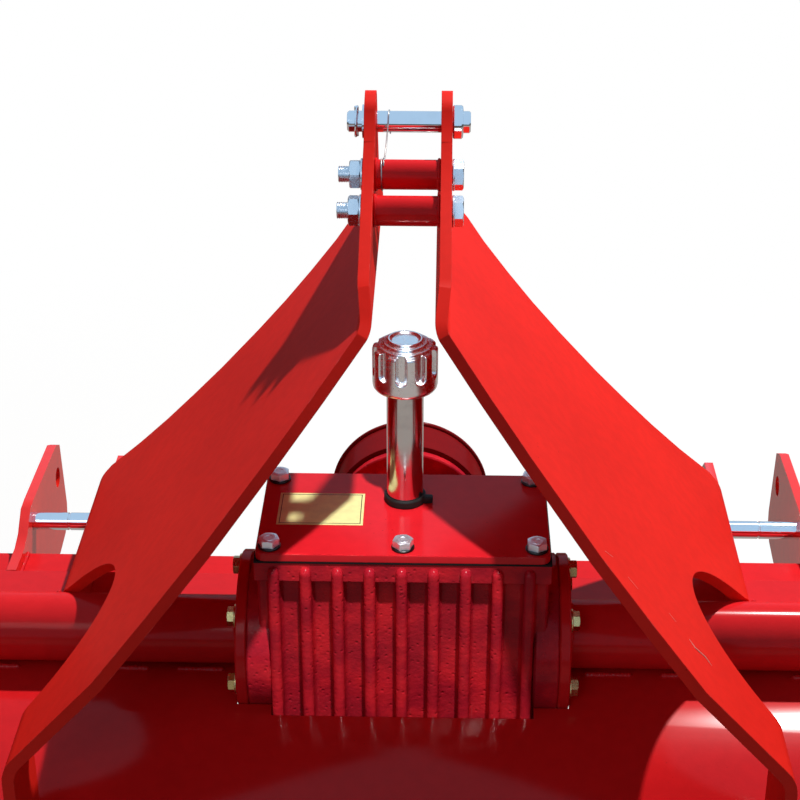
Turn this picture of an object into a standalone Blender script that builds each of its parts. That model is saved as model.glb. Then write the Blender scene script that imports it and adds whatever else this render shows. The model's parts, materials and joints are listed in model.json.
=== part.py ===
"""Rotary tiller for a three point hitch, seen from behind with the tractor side along +Y.

Metres, +Z up, +X to the right of someone who stands behind the machine. The floor is Z = 0 and the
origin is at the middle of the footprint. Most places are given from the axle line, which is the axis
of the round cross tube and of the gearbox's output.
"""

import math

import bmesh
import bpy
from mathutils import Matrix, Vector

for scene_object in list(bpy.data.objects):
    bpy.data.objects.remove(scene_object)

# Seating gap left between pieces that touch
SEAT = 0.0003

# Axle line and rotor line
AXLE_Y = 0.0035
ROTOR_DROP = 0.305
ROTOR_BACK = 0.016
TINE_RADIUS = 0.212
GROUND_CLEARANCE = 0.015
AXLE_Z = ROTOR_DROP + TINE_RADIUS + GROUND_CLEARANCE

# Cross tube
TUBE_RADIUS = 0.0315
TUBE_WALL = 0.005
TUBE_FLANGE_RADIUS = 0.074
TUBE_FLANGE_THICK = 0.010

# Gearbox casting
BOX_HALF_WIDTH = 0.1288
BOX_DEPTH = 0.121
BOX_UP = 0.1198
BOX_DOWN = 0.080
BAND_HEIGHT = 0.0208
BAND_INSET = 0.0012
DISC_THICK = 0.024
FIN_COUNT = 9
FIN_PITCH = 0.0277
FIN_SHIFT = -0.001
FIN_WIDTH = 0.0098
FIN_REACH = 0.0165
FIN_ROOT = 0.002
FIN_TOP_DROP = 0.0045
COVER_WIDTH = 0.2545
COVER_DEPTH = 0.1416
COVER_SHIFT = -0.0018
COVER_THICK = 0.0075
COVER_CORNER = 0.008

# Filler pipe and breather on the cover
FILLER_Y = 0.0226
FILLER_RADIUS = 0.0163
FILLER_LENGTH = 0.1135
COLLAR_RADIUS = 0.0190
COLLAR_HEIGHT = 0.010
CAP_RADIUS = 0.0286
CAP_HEIGHT = 0.047

# Input neck, shield and splined input shaft
NECK_RADIUS = 0.044
NECK_FRONT = 0.2115
NECK_FLANGE_RADIUS = 0.074
NECK_FLANGE_THICK = 0.010
SHIELD_RADIUS = 0.0782
SHIELD_MOUTH = 0.045
SHIELD_RIM = 0.003
SHIELD_WALL = 0.004
SHIELD_LENGTH = 0.050
INPUT_RADIUS = 0.0175
INPUT_ROOT_RADIUS = 0.0145
INPUT_SPLINES = 6
INPUT_REACH = 0.120
INPUT_SOCKET = 0.040
SPIN_CLEARANCE = 0.001

# Hitch bar ahead of the tube
BAR_REAR = 0.143
BAR_DEPTH = 0.057
BAR_TOP = -0.0464
BAR_HEIGHT = 0.060
BAR_WALL = 0.005

# Places across the machine: inner faces of the ears, then the leg, then the end of the bar
PLATE_THICK = 0.010
EAR_LEFT_INNER = 0.311
EAR_LEFT_OUTER = 0.393
EAR_RIGHT_INNER = 0.318
EAR_RIGHT_OUTER = 0.403
LEG_EAR_GAP = 0.087
LEG_INSET = 0.120
LEG_X = EAR_RIGHT_OUTER + PLATE_THICK + LEG_EAR_GAP
BAR_HALF_LENGTH = LEG_X + LEG_INSET

# Hood over the rotor
HOOD_THICK = 0.004
HOOD_ARC_DEGREES = 62.0
HOOD_GAP = 0.001

# Mast plates: bent section in X and Z, then the side outline in Y and Z
MAST_GAP = 0.058
MAST_TOP = 0.465
JOGGLE_UP = 0.372
JOGGLE_IN = 0.003
FOLD_UP = 0.3307
EAVE_UP = 0.0186
EAVE_X = 0.317
JOGGLE_RADIUS = 0.060
FOLD_RADIUS = 0.022
EAVE_RADIUS = 0.030
LEG_DOWN = -0.250
MAST_REAR_EDGE = (
    (-0.236, 0.105), (-0.2264, 0.123), (-0.213, 0.148), (-0.183, 0.1962), (-0.1323, 0.2555),
    (-0.0977, 0.2914), (-0.058, 0.3285), (-0.020, 0.356), (0.060, 0.398), (0.1246, 0.4306), (0.137, 0.455))
MAST_CREST = (0.163, 0.442)
MAST_CREST_RADIUS = 0.022
MAST_FRONT_EDGE = (
    (0.205, 0.405), (0.250, 0.322), (0.2455, 0.308), (0.2275, 0.291), (0.2125, 0.266), (0.2015, 0.2395),
    (0.196, 0.210), (0.1945, 0.170), (0.199, 0.137), (0.2055, 0.1066), (0.218, 0.0725), (0.2386, 0.0336),
    (0.2356, 0.0196), (0.2356, -0.0078))
SADDLE_FRONT = 0.150
ARCH_Y = -0.0724
ARCH_Z = 0.0116
ARCH_RADIUS = 0.092
TOP_PIN_Y = 0.168
TOP_PIN_Z = 0.434
TOP_PIN_RADIUS = 0.0095
TOP_PIN_REACH = 0.016
SPACER_RADIUS = 0.0132
SPACER_BORE = 0.0085
UPPER_SPACER = (0.1155, 0.4035)
LOWER_SPACER = (0.0825, 0.3825)
BOLT_RADIUS = 0.008
BOLT_HEAD_RADIUS = 0.0135
BOLT_HEAD_THICK = 0.010
BOLT_NUT_THICK = 0.012
BOLT_STUB = 0.008

# Lower hitch ears in Y and Z, and their pins
# side, place, low X
EARS = (
    ("left", "inner", EAR_LEFT_INNER), ("left", "outer", EAR_LEFT_OUTER),
    ("right", "inner", EAR_RIGHT_INNER), ("right", "outer", EAR_RIGHT_OUTER))
EAR_TOP_EDGE = (
    (0.2436, -0.0080), (0.225, -0.0090), (0.203, -0.026), (0.184, -0.0316), (0.144, -0.0318))
EAR_TIPS = {
    "outer": ((0.383, -0.020), (0.366, -0.0115)),
    "inner": ((0.386, -0.050), (0.345, -0.0115)),
}
EAR_FRONT = ((0.225, -0.128), (0.3386, -0.1334), (0.372, -0.128), (0.3895, -0.112), (0.392, -0.100))
EAR_PIN = (0.236, -0.030)
EAR_SPARE_HOLE = (0.3596, -0.0484)
EAR_HOLE_RADIUS = 0.0112
LOWER_PIN_RADIUS = 0.0092
LOWER_PIN_CLEARANCE = 0.0003
LOWER_PIN_END = 0.012

# Side plates, drive case and bearing
SIDE_THICK = 0.008
SIDE_SHOULDER = 0.080
SIDE_REAR_EDGE = (
    (-0.190, -0.020), (-0.270, -0.110), (-0.308, -0.250), (-0.308, -0.330), (-0.255, -0.430))
SIDE_REAR_CORNER = (-0.190, -0.445)
SIDE_REAR_RADIUS = 0.050
SIDE_FRONT_CORNER = (0.130, -0.415)
SIDE_FRONT_RADIUS = 0.080
SIDE_FRONT_EDGE = ((0.232, -0.330), (0.245, -0.150), (0.220, -0.030), (0.120, -0.010))
SHAFT_HOLE_RADIUS = 0.030
CASE_THICK = 0.0614
CASE_TOP_RADIUS = 0.085
CASE_LOW_RADIUS = 0.080
CASE_COVER_THICK = 0.005
CASE_COVER_INSET = 0.006
HUB_RADIUS = 0.068
HUB_THICK = 0.012
HUB_CAP_RADIUS = 0.042
HUB_CAP_THICK = 0.034
HUB_CHAMFER = 0.004

# Skids
SKID_THICK = 0.008
SKID_WIDTH = 0.068
SKID_FLANGE_THICK = 0.006
SKID_REAR = -0.235
SKID_FRONT = 0.150
SKID_NOSE_RADIUS = 0.120
SKID_NOSE_DEGREES = 55.0
SKID_FLANGE_HEIGHT = 0.085
SKID_FLANGE_BACK = 0.020
SKID_FLANGE_AHEAD = 0.060

# Rotor
ROTOR_END_GAP = 0.022
ROTOR_HALF_LENGTH = BAR_HALF_LENGTH - ROTOR_END_GAP
ROTOR_TUBE_RADIUS = 0.032
STUB_RADIUS = 0.0175
STUB_REACH = 0.030
STUB_END_GAP = 0.006
STATION_COUNT = 6
STATION_INSET = 0.098
STATION_PITCH = 2.0 * (ROTOR_HALF_LENGTH - STATION_INSET) / (STATION_COUNT - 1)
STATION_RADIUS = 0.070
STATION_THICK = 0.010
TINES_PER_STATION = 6
TINE_THICK = 0.008
TINE_ROOT = 0.035
TINE_BEND = 0.186
# Rings of a tine: X, place along the shank, rear edge, front edge
TINE_RINGS = (
    (0.0, TINE_ROOT, -0.016, 0.016),
    (0.0, 0.115, -0.020, 0.020),
    (0.0, TINE_BEND, -0.016, 0.026),
    (0.005, 0.200, -0.014, 0.028),
    (0.020, 0.207, -0.012, 0.030),
    (0.055, 0.205, -0.004, 0.032),
)

# Rear board and its hinge
HINGE_RADIUS = 0.006
HINGE_PLAY = 0.0005
HINGE_DROP = 0.016
KNUCKLE_RADIUS = 0.011
KNUCKLE_COUNT = 7
KNUCKLE_LENGTH = 0.080
KNUCKLE_STRAP = 0.005
BOARD_THICK = 0.003
BOARD_END_GAP = 0.020
BOARD_HALF_WIDTH = BAR_HALF_LENGTH - BOARD_END_GAP
KNUCKLE_PITCH = 2.0 * BOARD_HALF_WIDTH / KNUCKLE_COUNT
# Places on the board's middle line, from the hinge line
BOARD_PATH = ((-0.0060, -0.017), (-0.020, -0.050), (-0.050, -0.150), (-0.090, -0.240), (-0.1425, -0.3095))
# Places where a knuckle's strap ends, from the hinge line
HOOD_STRAP_END = (0.0056, 0.0266)
BOARD_STRAP_END = (-0.0155, -0.039)
STOP_RADIUS = 0.009
STOP_LENGTH = 0.045

# Parking leg
LEG_SIZE = 0.040
LEG_WALL = 0.004
LEG_PLAY = 0.0006
SOCKET_WALL = 0.004
SOCKET_HEIGHT = 0.110
LEG_ABOVE_BAR = 0.0164
FOOT_SIZE = 0.090
FOOT_SHIFT = 0.024
FOOT_THICK = 0.006
FOOT_LIFT = 0.002
LEG_LENGTH = AXLE_Z + BAR_TOP + LEG_ABOVE_BAR - FOOT_LIFT
SCREW_RADIUS = 0.007
SCREW_REACH = 0.030
SCREW_BAR_RADIUS = 0.0045
SCREW_BAR_LENGTH = 0.060


def colour_material(name, colour, roughness, metallic):
    """A plain finish with one colour."""
    material = bpy.data.materials.new(name)
    material.use_nodes = True
    shader = material.node_tree.nodes["Principled BSDF"]
    shader.inputs["Base Color"].default_value = (*colour, 1.0)
    shader.inputs["Roughness"].default_value = roughness
    shader.inputs["Metallic"].default_value = metallic
    return material


# name, colour, roughness, metallic
FINISHES = {
    "red_paint": ((0.60, 0.02, 0.015), 0.30, 0.0),
    "red_casting": ((0.45, 0.015, 0.02), 0.45, 0.0),
    "zinc": ((0.70, 0.72, 0.74), 0.30, 1.0),
    "chrome": ((0.80, 0.80, 0.82), 0.12, 1.0),
    "black_rubber": ((0.02, 0.02, 0.02), 0.75, 0.0),
    "bare_steel": ((0.35, 0.33, 0.31), 0.45, 1.0),
    "black_paint": ((0.03, 0.03, 0.03), 0.45, 0.0),
}
MATERIALS = {}
for finish_name, finish_values in FINISHES.items():
    MATERIALS[finish_name] = colour_material(finish_name, *finish_values)


def from_axle(y, z, x=0.0):
    """World place of a point given from the axle line."""
    return (x, AXLE_Y + y, AXLE_Z + z)


def arc(centre, radius, start, end, steps):
    """Points of a round stretch, angles in degrees."""
    points = []
    for step in range(steps + 1):
        angle = math.radians(start + (end - start) * step / steps)
        points.append((centre[0] + radius * math.cos(angle), centre[1] + radius * math.sin(angle)))
    return points


def offset_points(points, side):
    """The same open path moved sideways, to its left for a positive side."""
    moved = []
    for index, point in enumerate(points):
        before = Vector(points[max(index - 1, 0)])
        after = Vector(points[min(index + 1, len(points) - 1)])
        here = Vector(point)
        incoming = (here - before).normalized() if index else (after - here).normalized()
        outgoing = (after - here).normalized() if index < len(points) - 1 else incoming
        normal_in = Vector((-incoming.y, incoming.x))
        normal_out = Vector((-outgoing.y, outgoing.x))
        normal = (normal_in + normal_out).normalized()
        moved.append(tuple(here + normal * side / max(normal.dot(normal_in), 0.2)))
    return moved


def rounded_path(corners, radii, steps):
    """An open path whose inner corners are rounded with the given radii."""
    path = [corners[0]]
    for index in range(1, len(corners) - 1):
        here = Vector(corners[index])
        to_before = (Vector(corners[index - 1]) - here).normalized()
        to_after = (Vector(corners[index + 1]) - here).normalized()
        half_angle = to_before.angle(to_after) / 2.0
        reach = radii[index - 1] / math.tan(half_angle)
        centre = here + (to_before + to_after).normalized() * radii[index - 1] / math.sin(half_angle)
        start = here + to_before * reach - centre
        end = here + to_after * reach - centre
        turn = start.angle_signed(end)
        for step in range(steps + 1):
            angle = -turn * step / steps
            spoke = Matrix.Rotation(angle, 2) @ start
            path.append(tuple(centre + spoke))
    path.append(corners[-1])
    return path


def strip(path, thickness):
    """Closed outline of a sheet that follows an open path."""
    return offset_points(path, thickness / 2.0) + offset_points(path, -thickness / 2.0)[::-1]


def prism(points, low, high, axis):
    """Mesh of a flat outline pushed along an axis; X takes (y, z), Y takes (x, z), Z takes (x, y)."""
    mesh = bmesh.new()
    order = {"X": (2, 0, 1), "Y": (0, 2, 1), "Z": (0, 1, 2)}[axis]
    ends = []
    for level in (low, high):
        ring = []
        for point in points:
            values = (point[0], point[1], level)
            ring.append(mesh.verts.new([values[place] for place in order]))
        ends.append(ring)
    mesh.faces.new(ends[0])
    mesh.faces.new(ends[1])
    count = len(points)
    for index in range(count):
        follow = (index + 1) % count
        mesh.faces.new((ends[0][index], ends[0][follow], ends[1][follow], ends[1][index]))
    bmesh.ops.recalc_face_normals(mesh, faces=mesh.faces)
    return mesh


def turned(profile, axis, sides):
    """Mesh turned about an axis from a closed profile of (radius, place along the axis) points."""
    mesh = bmesh.new()
    rings = []
    for radius, along in profile:
        ring = []
        for side in range(sides if radius > 0.0 else 1):
            angle = math.tau * side / sides
            across = (radius * math.cos(angle), radius * math.sin(angle))
            place = {
                "X": (along, across[0], across[1]),
                "Y": (across[0], along, across[1]),
                "Z": (across[0], across[1], along),
            }[axis]
            ring.append(mesh.verts.new(place))
        rings.append(ring)
    count = len(rings)
    for index in range(count):
        first = rings[index]
        second = rings[(index + 1) % count]
        if len(first) == 1 and len(second) == 1:
            continue
        for side in range(sides):
            follow = (side + 1) % sides
            corners = [first[side % len(first)], first[follow % len(first)],
                       second[follow % len(second)], second[side % len(second)]]
            unique = []
            for corner in corners:
                if corner not in unique:
                    unique.append(corner)
            mesh.faces.new(unique)
    bmesh.ops.recalc_face_normals(mesh, faces=mesh.faces)
    return mesh


def block(size, centre):
    """Mesh of a plain block."""
    mesh = bmesh.new()
    bmesh.ops.create_cube(mesh, size=1.0)
    bmesh.ops.scale(mesh, vec=size, verts=mesh.verts)
    bmesh.ops.translate(mesh, vec=centre, verts=mesh.verts)
    return mesh


def rod(radius, low, high, axis, sides, centre=(0.0, 0.0, 0.0)):
    """Mesh of a round bar along an axis."""
    mesh = turned([(0.0, low), (radius, low), (radius, high), (0.0, high)], axis, sides)
    bmesh.ops.translate(mesh, vec=centre, verts=mesh.verts)
    return mesh


def pipe(outer, inner, low, high, axis, sides, centre=(0.0, 0.0, 0.0)):
    """Mesh of a round tube along an axis."""
    mesh = turned([(outer, low), (outer, high), (inner, high), (inner, low)], axis, sides)
    bmesh.ops.translate(mesh, vec=centre, verts=mesh.verts)
    return mesh


def make(name, mesh, finish, place=(0.0, 0.0, 0.0)):
    """Object of a sub-part with its finish."""
    data = bpy.data.meshes.new(name)
    mesh.to_mesh(data)
    mesh.free()
    data.materials.append(MATERIALS[finish])
    part = bpy.data.objects.new(name, data)
    part.location = place
    bpy.context.scene.collection.objects.link(part)
    return part


def combine(part, mesh, operation):
    """Unite a mesh with a sub-part or cut it out, in the sub-part's own frame."""
    data = bpy.data.meshes.new("tool")
    mesh.to_mesh(data)
    mesh.free()
    tool = bpy.data.objects.new("tool", data)
    tool.location = part.location
    bpy.context.scene.collection.objects.link(tool)
    bpy.context.view_layer.update()
    modifier = part.modifiers.new("combine", "BOOLEAN")
    modifier.operation = operation
    modifier.object = tool
    modifier.solver = "EXACT"
    graph = bpy.context.evaluated_depsgraph_get()
    result = bpy.data.meshes.new_from_object(part.evaluated_get(graph))
    part.modifiers.clear()
    part.data = result
    bpy.data.objects.remove(tool)
    return part


def unite(part, mesh):
    return combine(part, mesh, "UNION")


def cut(part, mesh):
    return combine(part, mesh, "DIFFERENCE")


def keep_common(part, mesh):
    return combine(part, mesh, "INTERSECT")


def smooth(part, degrees=35.0):
    """Round shading with the sharp edges kept."""
    part.data.shade_smooth()
    part.data.set_sharp_from_angle(angle=math.radians(degrees))
    return part


def mirror_x(mesh):
    """The same mesh on the other side of the machine."""
    bmesh.ops.scale(mesh, vec=(-1.0, 1.0, 1.0), verts=mesh.verts)
    bmesh.ops.reverse_faces(mesh, faces=mesh.faces)
    return mesh


def sided(mesh, side):
    return mirror_x(mesh) if side < 0 else mesh


SIDES = (("left", -1), ("right", 1))


def gearbox():
    """Finned casting with its top band and the round seats of the cross tubes."""
    wall = BOX_DEPTH / 2.0
    middle = (BOX_UP - BOX_DOWN) / 2.0
    body_width = 2.0 * (BOX_HALF_WIDTH - BAND_INSET)
    housing = make(
        "gearbox_housing", block((body_width, BOX_DEPTH, BOX_UP + BOX_DOWN), (0.0, 0.0, middle)),
        "red_casting", from_axle(0.0, 0.0))
    band_middle = BOX_UP - BAND_HEIGHT / 2.0
    band_depth = COVER_DEPTH - 2.0 * BAND_INSET
    unite(housing, block((2.0 * BOX_HALF_WIDTH, band_depth, BAND_HEIGHT), (0.0, COVER_SHIFT, band_middle)))
    disc_end = BOX_HALF_WIDTH + TUBE_FLANGE_THICK
    for name, side in SIDES:
        unite(housing, sided(rod(TUBE_FLANGE_RADIUS, disc_end - DISC_THICK, disc_end, "X", 40), side))
    fin_top = BOX_UP - FIN_TOP_DROP
    for index in range(FIN_COUNT):
        middle_x = FIN_SHIFT + (index - (FIN_COUNT - 1) / 2.0) * FIN_PITCH
        half = FIN_WIDTH / 2.0
        outline = [(middle_x - half, -BOX_DOWN), (middle_x + half, -BOX_DOWN)]
        outline += arc((middle_x, fin_top - half), half, 0.0, 180.0, 6)
        unite(housing, prism(outline, -wall - FIN_REACH, -wall + FIN_ROOT, "Y"))
    unite(housing, rod(NECK_RADIUS, 0.0, NECK_FRONT - NECK_FLANGE_THICK, "Y", 32))
    smooth(housing)


def gearbox_top():
    """Cover plate, rubber collar, filler pipe and breather cap."""
    half_x = COVER_WIDTH / 2.0 - COVER_CORNER
    half_y = COVER_DEPTH / 2.0 - COVER_CORNER
    outline = []
    for corner_x, corner_y, start in ((1, 1, 0.0), (-1, 1, 90.0), (-1, -1, 180.0), (1, -1, 270.0)):
        outline += arc((corner_x * half_x, corner_y * half_y), COVER_CORNER, start, start + 90.0, 4)
    cover_low = BOX_UP + SEAT
    cover_top = cover_low + COVER_THICK
    make(
        "gearbox_cover", prism(outline, 0.0, COVER_THICK, "Z"), "red_paint",
        from_axle(COVER_SHIFT, cover_low))
    collar_low = cover_top + SEAT
    collar = make(
        "filler_collar",
        pipe(COLLAR_RADIUS, FILLER_RADIUS + SEAT, 0.0, COLLAR_HEIGHT, "Z", 32),
        "black_rubber", from_axle(FILLER_Y, collar_low))
    smooth(collar)
    filler = make(
        "filler_pipe", rod(FILLER_RADIUS, 0.0, FILLER_LENGTH, "Z", 32), "chrome",
        from_axle(FILLER_Y, collar_low))
    smooth(filler)
    cap_low = collar_low + FILLER_LENGTH + SEAT
    profile = [
        (0.0, 0.0), (CAP_RADIUS - 0.002, 0.0), (CAP_RADIUS, 0.002), (CAP_RADIUS, CAP_HEIGHT * 0.74),
        (CAP_RADIUS * 0.93, CAP_HEIGHT * 0.86), (CAP_RADIUS * 0.84, CAP_HEIGHT * 0.90),
        (CAP_RADIUS * 0.80, CAP_HEIGHT * 0.96), (CAP_RADIUS * 0.70, CAP_HEIGHT), (0.0, CAP_HEIGHT)]
    cap = make("breather_cap", turned(profile, "Z", 32), "chrome", from_axle(FILLER_Y, cap_low))
    smooth(cap)


def input_drive():
    """Neck flange, shield cup and the splined shaft that the drive shaft is coupled to."""
    flange_rear = NECK_FRONT - NECK_FLANGE_THICK + SEAT
    flange = make(
        "input_flange",
        pipe(NECK_FLANGE_RADIUS, INPUT_RADIUS + SPIN_CLEARANCE, 0.0, NECK_FLANGE_THICK, "Y", 40),
        "red_casting", from_axle(flange_rear, 0.0))
    smooth(flange)
    shield_rear = flange_rear + NECK_FLANGE_THICK + SEAT
    inner = SHIELD_RADIUS - SHIELD_WALL
    profile = [
        (SHIELD_MOUTH, 0.0), (SHIELD_RADIUS, 0.0), (SHIELD_RADIUS, SHIELD_LENGTH - 2.0 * SHIELD_RIM),
        (SHIELD_RADIUS + SHIELD_RIM, SHIELD_LENGTH - SHIELD_RIM), (SHIELD_RADIUS, SHIELD_LENGTH),
        (inner, SHIELD_LENGTH), (inner, SHIELD_WALL), (SHIELD_MOUTH, SHIELD_WALL)]
    shield = make("pto_shield", turned(profile, "Y", 40), "red_paint", from_axle(shield_rear, 0.0))
    smooth(shield)
    outline = []
    step = math.tau / INPUT_SPLINES
    for tooth in range(INPUT_SPLINES):
        for radius, share in ((INPUT_ROOT_RADIUS, -0.30), (INPUT_RADIUS, -0.22),
                              (INPUT_RADIUS, 0.22), (INPUT_ROOT_RADIUS, 0.30)):
            angle = step * (tooth + share)
            outline.append((radius * math.cos(angle), radius * math.sin(angle)))
    shaft = make(
        "input_shaft", prism(outline, NECK_FLANGE_THICK, INPUT_REACH, "Y"), "bare_steel",
        from_axle(flange_rear, 0.0))
    unite(shaft, rod(INPUT_RADIUS - 0.0002, SEAT, NECK_FLANGE_THICK + 0.012, "Y", 24))
    smooth(shaft)


def cross_tube():
    """Round tube on each side of the gearbox with the flange that bolts to the casting."""
    flange_start = BOX_HALF_WIDTH + TUBE_FLANGE_THICK + SEAT
    for name, side in SIDES:
        start = min(side * flange_start, side * BAR_HALF_LENGTH)
        end = max(side * flange_start, side * BAR_HALF_LENGTH)
        tube = make(
            "axle_tube_" + name,
            pipe(TUBE_RADIUS, TUBE_RADIUS - TUBE_WALL, start, end, "X", 32),
            "red_paint", from_axle(0.0, 0.0))
        flange_end = side * (flange_start + TUBE_FLANGE_THICK)
        unite(tube, pipe(
            TUBE_FLANGE_RADIUS, TUBE_RADIUS - TUBE_WALL,
            min(side * flange_start, flange_end), max(side * flange_start, flange_end), "X", 40))
        smooth(tube)


def hitch():
    """Square bar, the four ears that stand on it and the two lower pins."""
    middle_y = BAR_REAR + BAR_DEPTH / 2.0
    middle_z = BAR_TOP - BAR_HEIGHT / 2.0
    bar = make(
        "hitch_bar", block((2.0 * BAR_HALF_LENGTH, BAR_DEPTH, BAR_HEIGHT), (0.0, 0.0, 0.0)),
        "red_paint", from_axle(middle_y, middle_z))
    cut(bar, block(
        (2.0 * BAR_HALF_LENGTH + 0.01, BAR_DEPTH - 2.0 * BAR_WALL, BAR_HEIGHT - 2.0 * BAR_WALL),
        (0.0, 0.0, 0.0)))
    bar_front = BAR_REAR + BAR_DEPTH + SEAT
    sides = dict(SIDES)
    for name, place, inner_x in EARS:
        outline = list(EAR_TOP_EDGE)
        outline += [(EAR_TOP_EDGE[-1][0], BAR_TOP + SEAT), (bar_front, BAR_TOP + SEAT)]
        outline += [(bar_front, BAR_TOP - BAR_HEIGHT)]
        outline += EAR_FRONT + EAR_TIPS[place]
        side = sides[name]
        outer_x = inner_x + PLATE_THICK
        ear = make(
            "hitch_ear_" + name + "_" + place, sided(prism(outline, inner_x, outer_x, "X"), side),
            "red_paint", from_axle(0.0, 0.0))
        for radius, hole in ((EAR_HOLE_RADIUS, EAR_SPARE_HOLE),
                             (LOWER_PIN_RADIUS + LOWER_PIN_CLEARANCE, EAR_PIN)):
            cut(ear, sided(
                rod(radius, inner_x - PLATE_THICK, outer_x + PLATE_THICK, "X", 24, (0.0, hole[0], hole[1])),
                side))
        smooth(ear)
        if place == "inner":
            pin_low = inner_x - LOWER_PIN_END
            continue
        pin = make(
            "lower_pin_" + name, sided(rod(LOWER_PIN_RADIUS, pin_low, outer_x, "X", 20), side), "chrome",
            from_axle(EAR_PIN[0], EAR_PIN[1]))
        smooth(pin)


def hood_arc_centre():
    return (-ROTOR_BACK, -ROTOR_DROP)


def hood_radius():
    """Outer radius of the hood's round back, which starts level with the underside of the tube."""
    return ROTOR_DROP - TUBE_RADIUS - SEAT


def mast_outline():
    """Side outline of a mast plate: rear edge, crest, front edge, foot on the ear, saddle, arch, rear leg."""
    crest = arc(MAST_CREST, MAST_CREST_RADIUS, 120.0, 20.0, 5)
    foot = [(y, z + SEAT) for y, z in EAR_TOP_EDGE[1:4]]
    foot.append((SADDLE_FRONT, -TUBE_RADIUS + SEAT))
    saddle = arc((0.0, 0.0), TUBE_RADIUS + SEAT, -60.0, 56.0, 8)
    lead = [(saddle[0][0], -TUBE_RADIUS + SEAT)]
    arch = arc((ARCH_Y, ARCH_Z), ARCH_RADIUS, 13.0, 176.0, 14)
    centre = hood_arc_centre()
    radius = hood_radius() + SEAT
    foot_angles = []
    for y in (arch[-1][0], MAST_REAR_EDGE[0][0]):
        foot_angles.append(math.degrees(math.acos((y - centre[0]) / radius)))
    leg_foot = arc(centre, radius, foot_angles[0], foot_angles[1], 5)
    edges = list(MAST_REAR_EDGE) + crest + list(MAST_FRONT_EDGE)
    return edges + foot + lead + saddle + arch + leg_foot


def mast():
    """Two bent plates: upright at the top, flared below the fold and upright again under the eave."""
    middle_top = (MAST_GAP + PLATE_THICK) / 2.0
    corners = [
        (middle_top, MAST_TOP + PLATE_THICK), (middle_top, JOGGLE_UP), (middle_top - JOGGLE_IN, FOLD_UP),
        (EAVE_X, EAVE_UP), (EAVE_X, LEG_DOWN)]
    path = rounded_path(corners, (JOGGLE_RADIUS, FOLD_RADIUS, EAVE_RADIUS), 6)
    section = strip(path, PLATE_THICK)
    for name, side in SIDES:
        plate = make(
            "mast_plate_" + name, sided(prism(section, -EAVE_X, EAVE_X, "Y"), side), "red_paint",
            from_axle(0.0, 0.0))
        keep_common(plate, sided(prism(mast_outline(), PLATE_THICK, EAVE_X + PLATE_THICK, "X"), side))
        for y, z, radius in (
                (TOP_PIN_Y, TOP_PIN_Z, TOP_PIN_RADIUS + SEAT),
                (UPPER_SPACER[0], UPPER_SPACER[1], BOLT_RADIUS + SEAT),
                (LOWER_SPACER[0], LOWER_SPACER[1], BOLT_RADIUS + SEAT)):
            cut(plate, sided(rod(radius, 0.0, MAST_GAP, "X", 20, (0.0, y, z)), side))
        smooth(plate)
    spacer_half = MAST_GAP / 2.0 - SEAT
    face = MAST_GAP / 2.0 + PLATE_THICK + SEAT
    for name, place in (("upper", UPPER_SPACER), ("lower", LOWER_SPACER)):
        spacer = make(
            "mast_spacer_" + name,
            pipe(SPACER_RADIUS, SPACER_BORE, -spacer_half, spacer_half, "X", 24),
            "red_paint", from_axle(place[0], place[1]))
        smooth(spacer)
        nut_end = face + BOLT_NUT_THICK
        bolt = make(
            "mast_bolt_" + name, rod(BOLT_RADIUS, -nut_end - BOLT_STUB, face + SPACER_BORE, "X", 16), "zinc",
            from_axle(place[0], place[1]))
        unite(bolt, rod(BOLT_HEAD_RADIUS, face, face + BOLT_HEAD_THICK, "X", 6))
        unite(bolt, rod(BOLT_HEAD_RADIUS, -nut_end, -face, "X", 6))
        smooth(bolt)
    pin_end = face + TOP_PIN_REACH
    pin = make(
        "top_link_pin", rod(TOP_PIN_RADIUS, -pin_end, pin_end, "X", 20), "chrome",
        from_axle(TOP_PIN_Y, TOP_PIN_Z))
    unite(pin, rod(BOLT_HEAD_RADIUS, -face - BOLT_NUT_THICK, -face, "X", 6))
    unite(pin, rod(BOLT_HEAD_RADIUS, face, face + BOLT_HEAD_THICK, "X", 20))
    smooth(pin)


def hood_path():
    """Middle line of the hood's sheet, front to back."""
    radius = hood_radius() - HOOD_THICK / 2.0
    centre = hood_arc_centre()
    front = [(BAR_REAR - SEAT, centre[1] + radius)]
    return front + arc(centre, radius, 90.0, 90.0 + HOOD_ARC_DEGREES, 10)


def hood():
    """Sheet over the rotor with the opening that the gearbox reaches through."""
    sheet = make(
        "hood", prism(strip(hood_path(), HOOD_THICK), -BAR_HALF_LENGTH, BAR_HALF_LENGTH, "X"),
        "red_paint", from_axle(0.0, 0.0))
    box_width = 2.0 * (BOX_HALF_WIDTH + HOOD_GAP)
    fins_width = (FIN_COUNT - 1) * FIN_PITCH + FIN_WIDTH + 2.0 * (abs(FIN_SHIFT) + HOOD_GAP)
    for width, depth in ((box_width, BOX_DEPTH), (fins_width, BOX_DEPTH + 2.0 * FIN_REACH)):
        cut(sheet, block((width, depth + 2.0 * HOOD_GAP, BOX_DOWN), (0.0, 0.0, -TUBE_RADIUS)))
    flange_end = BOX_HALF_WIDTH + 2.0 * TUBE_FLANGE_THICK + HOOD_GAP
    cut(sheet, rod(TUBE_FLANGE_RADIUS + HOOD_GAP, -flange_end, flange_end, "X", 40))
    cut(sheet, block((2.0 * (NECK_RADIUS + HOOD_GAP), 2.0 * BAR_REAR, BOX_DOWN), (0.0, BAR_REAR, -TUBE_RADIUS)))
    add_knuckles(sheet, range(0, KNUCKLE_COUNT, 2), hinge_place(), HOOD_STRAP_END)
    smooth(sheet)


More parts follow.
